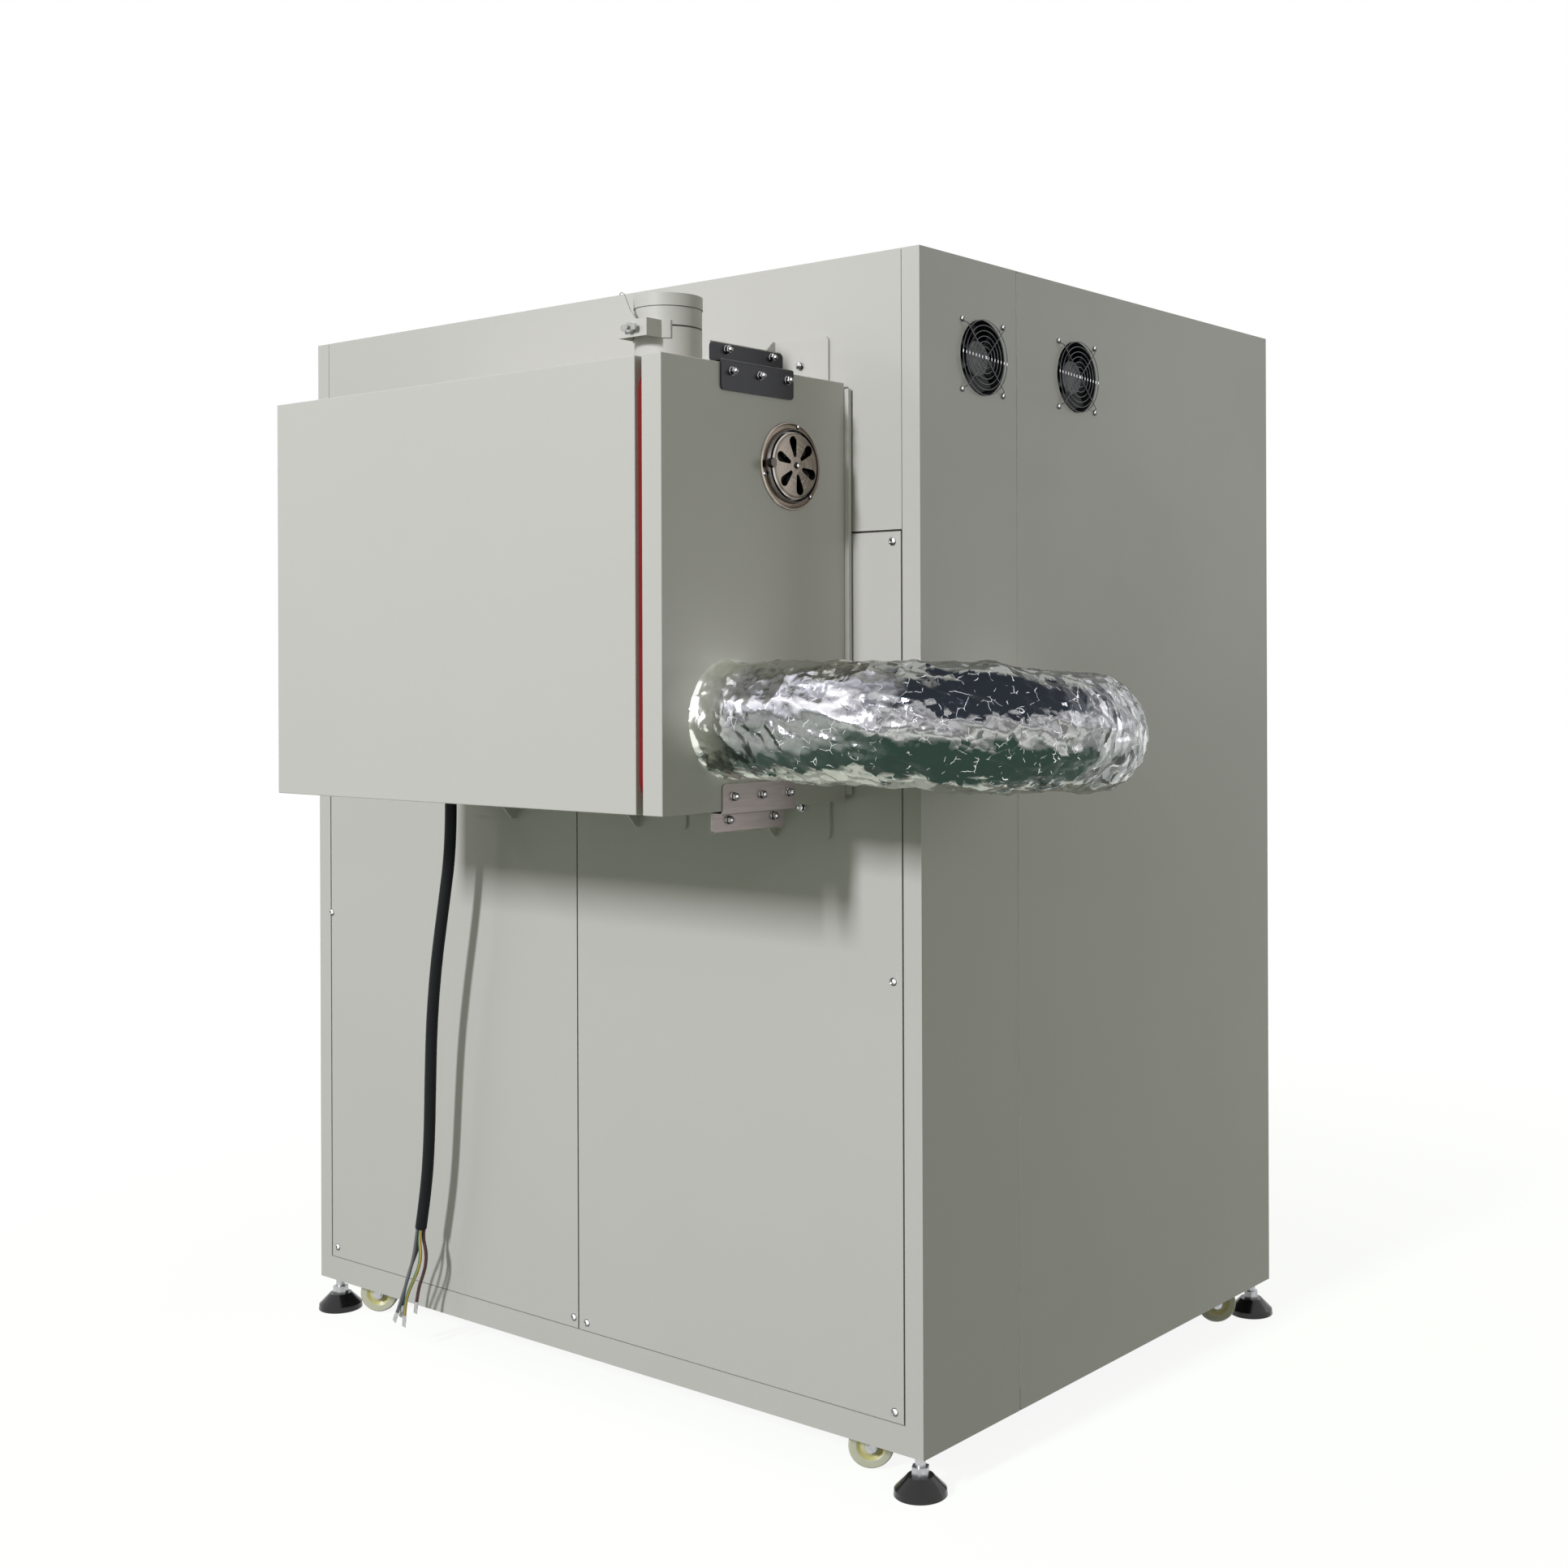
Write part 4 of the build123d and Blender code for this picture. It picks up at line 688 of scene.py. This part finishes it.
def makeDuct(s):
    noise.seed_set(s["warpSeed"])    # the noise vectors start from the clock otherwise
    bm = bmesh.new()
    start = Matrix.Translation((s["startX"], s["startY"], s["turnHeight"]))
    start = start @ Matrix.Rotation(math.radians(90), 4, "Y")
    ring = bmesh.ops.create_circle(bm, segments=s["around"], radius=s["radius"], matrix=start)["verts"]
    loop = ring + list(dict.fromkeys(edge for vert in ring for edge in vert.link_edges))
    cx, cy = s["turnCentre"]
    bend = cy - s["startY"]
    leg = cx - s["startX"]
    steps = round(leg / s["step"])
    loop = bmesh.ops.spin(bm, geom=loop, cent=(0, 0, 0), axis=(0, 0, 1), dvec=(leg / steps, 0, 0), angle=0.0,
                          steps=steps)["geom_last"]
    loop = bmesh.ops.spin(bm, geom=loop, cent=(cx, cy, 0), axis=(0, 0, 1), angle=math.pi,
                          steps=round(math.pi * bend / s["step"]))["geom_last"]
    back = cx - s["endX"]
    steps = round(back / s["step"])
    bmesh.ops.spin(bm, geom=loop, cent=(0, 0, 0), axis=(0, 0, 1), dvec=(-back / steps, 0, 0), angle=0.0,
                   steps=steps)
    total = leg + math.pi * bend + back
    for vert in bm.verts:
        middle, run, side = ductCentre(s, vert.co)
        middle.z = s["turnHeight"]
        out = (vert.co - middle).normalized()
        angle = math.atan2(out.z, out.dot(side))
        around = angle + run / s["twist"]
        sheet = Vector((run * s["stretch"], s["radius"] * math.cos(around), s["radius"] * math.sin(around)))
        warp = sheet + 6.0 * noise.noise_vector(sheet / 45.0)
        depth = 0.0
        for cell, size, seed in s["creases"]:
            near = noise.voronoi(warp / cell + Vector((seed, seed, seed)), distance_metric="DISTANCE_SQUARED")[0]
            depth += size * min(near[1] - near[0], 0.8)
        rib = (run + 9.0 * noise.noise(vert.co / 60.0)) / s["ribPitch"] + angle / math.tau
        depth += s["ribDepth"] * (1.0 - abs(2.0 * (rib % 1.0) - 1.0) ** 2.0)
        depth += s["waist"] * (0.5 + 0.5 * noise.noise(Vector((run / 110.0, 3.0, angle / 3.0))))
        hold = min(1.0, min(run, total - run) / 6.0)    # the ends keep round on their collars
        vert.co -= out * (depth * (0.35 + 0.65 * hold) - along(s["girths"], run))
        vert.co.z += along(s["rises"], run)
    bmesh.ops.holes_fill(bm, edges=[edge for edge in bm.edges if edge.is_boundary], sides=0)
    bmesh.ops.recalc_face_normals(bm, faces=bm.faces)
    duct = toObject(bm, "crumpledDuct", "foil", smoothAngle=24.0)
    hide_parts("foil_duct")


makeDuct(ductSettings)
print("foil duct")


# Fan guards

guardSettings = {
    "places": [(-374.0, 1677.0), (-115.5, 1677.0)],
    "face": 720.0, "standoff": 5.2, "wire": 0.7, "rings": 7, "inner": 8.0, "outer": 56.5,
    "pitch": 105.0, "eye": 3.6,
    "rotors": ["fan_rotor_near", "fan_rotor_far"], "hubDepth": 17.0,
    "hubFace": [(0.0, 0.0), (25.5, 0.0), (25.5, 0.35), (23.5, 0.5), (23.1, 0.3), (0.0, 0.3)],
}


def wireBetween(bm, start, end, radius, segments=8):
    start, end = Vector(start), Vector(end)
    along = end - start
    turn = along.to_track_quat("Z", "Y").to_matrix().to_4x4()
    bmesh.ops.create_cone(bm, cap_ends=True, segments=segments, radius1=radius, radius2=radius,
                          depth=along.length, matrix=Matrix.Translation((start + end) / 2) @ turn)


def wireRing(bm, centre, axis, across, radius, wire, steps, segments=8):
    # A wire section spun once round the ring's axis
    spot = Vector(centre) + Vector(across) * radius
    side = Vector(axis).cross(Vector(across))
    turn = side.to_track_quat("Z", "Y").to_matrix().to_4x4()
    ring = bmesh.ops.create_circle(bm, segments=segments, radius=wire,
                                   matrix=Matrix.Translation(spot) @ turn)["verts"]
    loop = ring + list(dict.fromkeys(edge for vert in ring for edge in vert.link_edges))
    bmesh.ops.spin(bm, geom=loop, cent=centre, axis=axis, angle=math.tau, steps=steps, use_merge=True)


def makeGuards(s):
    bm = bmesh.new()
    step = (s["outer"] - s["inner"]) / (s["rings"] - 1)
    ringX = s["face"] + s["standoff"]
    legX = ringX + 2 * s["wire"]
    reach = s["pitch"] / 2
    for y, z in s["places"]:
        for index in range(s["rings"]):
            wireRing(bm, (ringX, y, z), (1, 0, 0), (0, 0, 1), s["inner"] + index * step, s["wire"], 56)
        for sy, sz in ((1, 1), (1, -1), (-1, 1), (-1, -1)):
            out = Vector((0, sy, sz)).normalized()
            middle = Vector((0, y, z))
            eye = middle + Vector((s["face"] + s["wire"], sy * reach, sz * reach))
            near = eye - out * (s["eye"] + 0.6)
            high = middle + out * ((near - middle).dot(out) - 4.0) + Vector((legX, 0, 0))
            inner = middle + out * 0.5 + Vector((legX, 0, 0))
            wireBetween(bm, inner, high, s["wire"])
            wireBetween(bm, high, near, s["wire"])
            wireRing(bm, eye, (1, 0, 0), out, s["eye"], s["wire"], 20, 6)
    bmesh.ops.remove_doubles(bm, verts=bm.verts, dist=0.002)
    bmesh.ops.recalc_face_normals(bm, faces=bm.faces)
    guards = toObject(bm, "wireGuards", "wireNear")
    guards.data.materials.append(finishes["wireFar"])
    halfway = (sum(y for y, z in s["places"]) / 2 - planMiddle.y) * mm
    for face in guards.data.polygons:
        face.material_index = 1 if face.center.y > halfway else 0
    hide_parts("fan_guards")


def makeHubFaces(s):
    # A foil disc on each hub, with a shallow step near its edge
    for rotor, (y, z) in zip(s["rotors"], s["places"]):
        back = min(corner[0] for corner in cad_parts[rotor].bound_box) / mm + planMiddle.x
        face = turned("hubFace", s["hubFace"], 40)
        bm = bmesh.new()
        stamp(bm, face, facing((back + s["hubDepth"], y, z), (1, 0, 0)))
        toObject(bm, rotor + "Face", "hubGrey", body=rotor)


makeGuards(guardSettings)
makeHubFaces(guardSettings)
print("fan guards and hub faces")


# Sealant in the seam of the side

sealSettings = {"x": 719.6, "y": -285.0, "foot": 66.0, "low": 96.0, "high": 1818.0, "radius": 1.1}


def makeSeal(s):
    # Pale sealant, painted over at the foot
    for name, finish, low, high in (("seamSealant", "paleSealant", s["low"], s["high"]),
                                    ("paintedSealant", "greyEnamel", s["foot"], s["low"])):
        bm = bmesh.new()
        wireBetween(bm, (s["x"], s["y"], low), (s["x"], s["y"], high), s["radius"], 10)
        toObject(bm, name, finish)


makeSeal(sealSettings)


# Screws and bolts

screwSettings = {
    "head": [(0.0, -0.2), (6.2, -0.2), (6.2, 0.9), (5.6, 2.0), (4.2, 3.1), (2.9, 3.7), (2.5, 3.5), (1.9, 1.7),
             (0.0, 1.5)],
    "wall": [(-683.0, 752.0), (-668.0, 125.0), (-19.6, 123.0), (12.2, 120.0), (668.8, 1395.0), (667.3, 751.0),
             (667.3, 121.6)],
    "wallY": -530.0,
    "fanScale": 0.62, "fanRise": 1.4,
    "ventFace": 588.5, "ventScale": 0.5, "ventMiddle": (-661.0, 1500.0), "ventRing": 59.0,
    "ventTurns": (75, 195, 315),
}

boltSettings = {
    "nutFlats": 10.0, "nutHeight": 5.0, "nutEdge": 0.55, "studRadius": 3.0, "studPitch": 1.0, "studLength": 10.0,
    "threadDepth": 0.45, "washer": 6.4, "washerHeight": 1.1,
    "cover": [(588.5, y, z) for z in (1622.0, 1033.0) for y in (-784.0, -726.5, -669.0)],
    "lug": [(568.0, y, z) for z in (1655.0, 999.0) for y in (-772.6, -679.5)],
    "wall": [(x, -534.0, z) for z in (1667.0, 999.0) for x in (-208.5, 195.5, 495.5)],
}


def makeScrews(s, guards):
    head = turned("screwHead", s["head"], 20)
    bm = bmesh.new()
    for x, z in s["wall"]:
        stamp(bm, head, facing((x, s["wallY"], z), (0, -1, 0)))
    reach = guards["pitch"] / 2
    for y, z in guards["places"]:
        for sy, sz in ((1, 1), (1, -1), (-1, 1), (-1, -1)):
            spot = (guards["face"] + s["fanRise"], y + sy * reach, z + sz * reach)
            stamp(bm, head, facing(spot, (1, 0, 0), s["fanScale"]))
    y, z = s["ventMiddle"]
    for turn in s["ventTurns"]:
        a = math.radians(turn)
        spot = (s["ventFace"], y + s["ventRing"] * math.cos(a), z + s["ventRing"] * math.sin(a))
        stamp(bm, head, facing(spot, (1, 0, 0), s["ventScale"]))
    toObject(bm, "domeScrews", "screwPaintedReflection")


def boltTemplate(s):
    # A hexagon nut on a washer, with the end of its threaded stud
    thread = [(0.0, 0.0), (s["studRadius"], 0.0)]
    height = 0.4
    while height < s["studLength"] - 0.8:
        thread += [(s["studRadius"], height), (s["studRadius"] - s["threadDepth"], height + s["studPitch"] / 2)]
        height += s["studPitch"]
    thread += [(s["studRadius"] - 0.7, s["studLength"]), (0.0, s["studLength"])]
    stud = turned("studEnd", thread, 14)
    washer = turned("washer", [(0.0, 0.0), (s["washer"], 0.0), (s["washer"], s["washerHeight"] - 0.3),
                               (s["washer"] - 0.3, s["washerHeight"]), (0.0, s["washerHeight"])], 24)
    bm = bmesh.new()
    corner = s["nutFlats"] / math.sqrt(3)
    bmesh.ops.create_cone(bm, cap_ends=True, segments=6, radius1=corner, radius2=corner, depth=s["nutHeight"],
                          matrix=Matrix.Translation((0, 0, s["washerHeight"] + s["nutHeight"] / 2)))
    rims = [edge for edge in bm.edges if abs(edge.verts[0].co.z - edge.verts[1].co.z) < 0.01]
    bmesh.ops.bevel(bm, geom=rims, offset=s["nutEdge"], segments=2, profile=0.5, affect="EDGES", material=-1)
    bm.from_mesh(stud)
    bm.from_mesh(washer)
    mesh = bpy.data.meshes.new("boltEnd")
    bm.to_mesh(mesh)
    bm.free()
    return mesh


def makeBolts(s):
    template = boltTemplate(s)
    bm = bmesh.new()
    spin = random.Random(5)
    for places, direction in ((s["cover"], (1, 0, 0)), (s["lug"], (1, 0, 0)), (s["wall"], (0, -1, 0))):
        for place in places:
            turn = Matrix.Rotation(spin.uniform(0, math.pi / 3), 4, "Z")
            stamp(bm, template, facing(place, direction) @ turn)
    toObject(bm, "nutsAndStuds", "screwPaintedReflection", smoothAngle=30.0)


makeScrews(screwSettings, guardSettings)
makeBolts(boltSettings)
print("screws and bolts")


# Supply lead

leadSettings = {
    "jacketRadius": 10.0,
    "jacketLength": 762.9,
    "points": [(-248.0, -600.0, 985.0), (-248.0, -600.0, 905.0), (-264.0, -604.0, 800.0), (-285.0, -604.0, 695.0),
               (-302.0, -600.0, 590.0), (-311.0, -596.0, 490.0), (-318.0, -593.0, 390.0), (-329.0, -591.0, 303.0),
               (-346.0, -590.0, 230.0)],
    "coreRadius": 3.0,
    "coreCircle": 5.6,
    "coreLead": 18.0,
    "coreShade": 0.8,
    "cores": {
        "grey": {"angle": 228.0, "length": 171.5, "colour": (0.16, 0.16, 0.18),
                 "points": [(-357.5, -596.0, 182.0), (-368.0, -597.0, 151.0), (-382.0, -596.0, 122.0),
                            (-396.0, -594.0, 95.5), (-408.5, -593.0, 71.5)]},
        "black": {"angle": 138.0, "length": 160.0, "colour": (0.012, 0.012, 0.014),
                  "points": [(-363.0, -584.0, 188.0), (-379.0, -583.0, 162.0), (-392.0, -583.0, 134.0),
                             (-401.0, -584.0, 107.0), (-405.0, -585.0, 82.0)]},
        "greenYellow": {"angle": 318.0, "length": 169.5, "colour": (0.035, 0.20, 0.095),
                        "points": [(-341.0, -594.0, 184.0), (-347.0, -595.0, 159.0), (-360.0, -596.0, 136.0),
                                   (-374.0, -596.0, 113.0), (-383.5, -595.0, 91.0), (-387.0, -594.0, 70.0)],
                        "stripe": {"toward": (0.93, -0.36, 0.0), "low": 0.66, "high": 0.74,
                                   "colour": (0.62, 0.42, 0.09)}},
        "brown": {"angle": 48.0, "length": 136.8, "colour": (0.06, 0.018, 0.015),
                  "points": [(-336.5, -586.0, 190.0), (-336.5, -587.0, 166.0), (-345.0, -588.0, 143.0),
                             (-355.0, -589.0, 121.0), (-359.5, -589.0, 98.0)]},
    },
}


def cordCurve(name, points, radius, finish):
    curve = bpy.data.curves.new(name, "CURVE")
    curve.dimensions = "3D"
    spline = curve.splines.new("NURBS")
    spline.points.add(len(points) - 1)
    for point, place in zip(spline.points, points):
        point.co = (*at(*place), 1.0)
    spline.order_u = 3
    spline.use_endpoint_u = True
    spline.resolution_u = 12
    curve.bevel_depth = radius * mm
    curve.bevel_resolution = 5
    curve.use_fill_caps = True
    curve.materials.append(finish)
    cord = bpy.data.objects.new(name, curve)
    bpy.context.scene.collection.objects.link(cord)
    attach(cord, "cabinet")
    return cord


def makeLead(s):
    jacket = cordCurve("supplyLead", s["points"], s["jacketRadius"], finishes["cableBlack"])
    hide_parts("cable_jacket")
    last = Vector(s["points"][-1])
    along = (last - Vector(s["points"][-2])).normalized()
    side = along.cross(Vector((0, 1, 0))).normalized()
    up = side.cross(along)
    for coreName, c in s["cores"].items():
        turn = math.radians(c["angle"])
        start = last + (side * math.cos(turn) + up * math.sin(turn)) * s["coreCircle"]
        route = [tuple(start), tuple(start + along * s["coreLead"])] + c["points"]
        shade = tuple(part * s["coreShade"] for part in c["colour"])
        finish = mottledMaterial("core" + coreName, c["colour"], shade, 0.5, 80.0, 900.0, 0.35)
        if "stripe" in c:
            facingStripe(finish, **c["stripe"])
        core = cordCurve("core" + coreName, route, s["coreRadius"], finish)
    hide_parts("cable_cores")


makeLead(leadSettings)
print("supply lead")


# Floor, light and background

lightSettings = {
    "floorSize": 60.0,
    "floorColour": (0.15, 0.18, 0.125), "floorGlow": 0.90, "farGlow": 1.0, "glowFrom": 1.2, "glowTo": 4.0,
    "lamps": {
        "key": {"place": (420.0, -9500.0, 5080.0), "aim": (100.0, -600.0, 900.0),
                "size": (0.7, 1.6), "power": 690.0},
        "rightBack": {"place": (4620.0, 4900.0, 2820.0), "aim": (720.0, 0.0, 1000.0),
                      "size": (3.5, 3.5), "power": 36.0},
        "rightGlint": {"place": (2720.0, -3774.0, 2293.0), "aim": (720.0, -374.0, 1677.0),
                       "size": (0.16, 0.16), "power": 3.0},
        "leftGlint": {"place": (-2350.0, -3570.0, 3030.0), "aim": (700.0, -871.0, 1140.0),
                      "size": (0.3, 0.3), "power": 5.0},
    },
    "ambient": 0.30, "ambientColour": (1.0, 1.0, 0.86), "lampColour": (1.0, 0.995, 1.05),
}


def aimAt(obj, target):
    obj.rotation_euler = (target - obj.location).to_track_quat("-Z", "Y").to_euler()


def seenRays(tree):
    # 1 for what the camera, a mirror or glass sees, 0 for light that falls on the object
    path = tree.nodes.new("ShaderNodeLightPath")
    seen = addNode(tree, "ShaderNodeMath", operation="MAXIMUM")
    link(tree, path.outputs["Is Camera Ray"], seen.inputs[0])
    link(tree, path.outputs["Is Glossy Ray"], seen.inputs[1])
    either = addNode(tree, "ShaderNodeMath", operation="MAXIMUM")
    link(tree, seen.outputs[0], either.inputs[0])
    link(tree, path.outputs["Is Transmission Ray"], either.inputs[1])
    return either.outputs[0]


def makeStage(s):
    bm = bmesh.new()
    bmesh.ops.create_grid(bm, x_segments=1, y_segments=1, size=s["floorSize"] / 2)
    mesh = bpy.data.meshes.new("floor")
    bm.to_mesh(mesh)
    bm.free()
    floor = bpy.data.objects.new("floor", mesh)
    bpy.context.scene.collection.objects.link(floor)
    material, tree, shader = newMaterial("paleFloor")
    shader.inputs["Base Color"].default_value = (*s["floorColour"], 1)
    shader.inputs["Roughness"].default_value = 0.9
    shader.inputs["Specular IOR Level"].default_value = 0.0
    shader.inputs["Emission Color"].default_value = (1, 1, 1, 1)
    place, spot = objectPlace(tree)
    away = addNode(tree, "ShaderNodeVectorMath", operation="LENGTH")
    link(tree, place, away.inputs[0])
    glow = between(tree, away.outputs["Value"], s["glowFrom"], s["glowTo"], s["floorGlow"], s["farGlow"])
    link(tree, mathNode(tree, "MULTIPLY", glow, seenRays(tree)), shader.inputs["Emission Strength"])
    mesh.materials.append(material)
    for name, settings in s["lamps"].items():
        lamp = bpy.data.lights.new(name, "AREA")
        lamp.shape = "RECTANGLE"
        lamp.size, lamp.size_y = settings["size"]
        lamp.energy = settings["power"]
        lamp.color = s["lampColour"]
        lampObject = bpy.data.objects.new(name, lamp)
        lampObject.location = at(*settings["place"])
        bpy.context.scene.collection.objects.link(lampObject)
        aimAt(lampObject, at(*settings["aim"]))
    world = bpy.data.worlds.new("studio")
    bpy.context.scene.world = world
    world.use_nodes = True
    tree = world.node_tree
    background = tree.nodes["Background"]
    strength = addNode(tree, "ShaderNodeMapRange")
    strength.inputs["To Min"].default_value = s["ambient"]
    strength.inputs["To Max"].default_value = 1.0
    seen = seenRays(tree)
    link(tree, seen, strength.inputs["Value"])
    link(tree, strength.outputs["Result"], background.inputs["Strength"])
    link(tree, blended(tree, seen, s["ambientColour"], (1.0, 1.0, 1.0)), background.inputs["Color"])
    bpy.context.scene.view_settings.view_transform = "Standard"


makeStage(lightSettings)
print("floor and light")
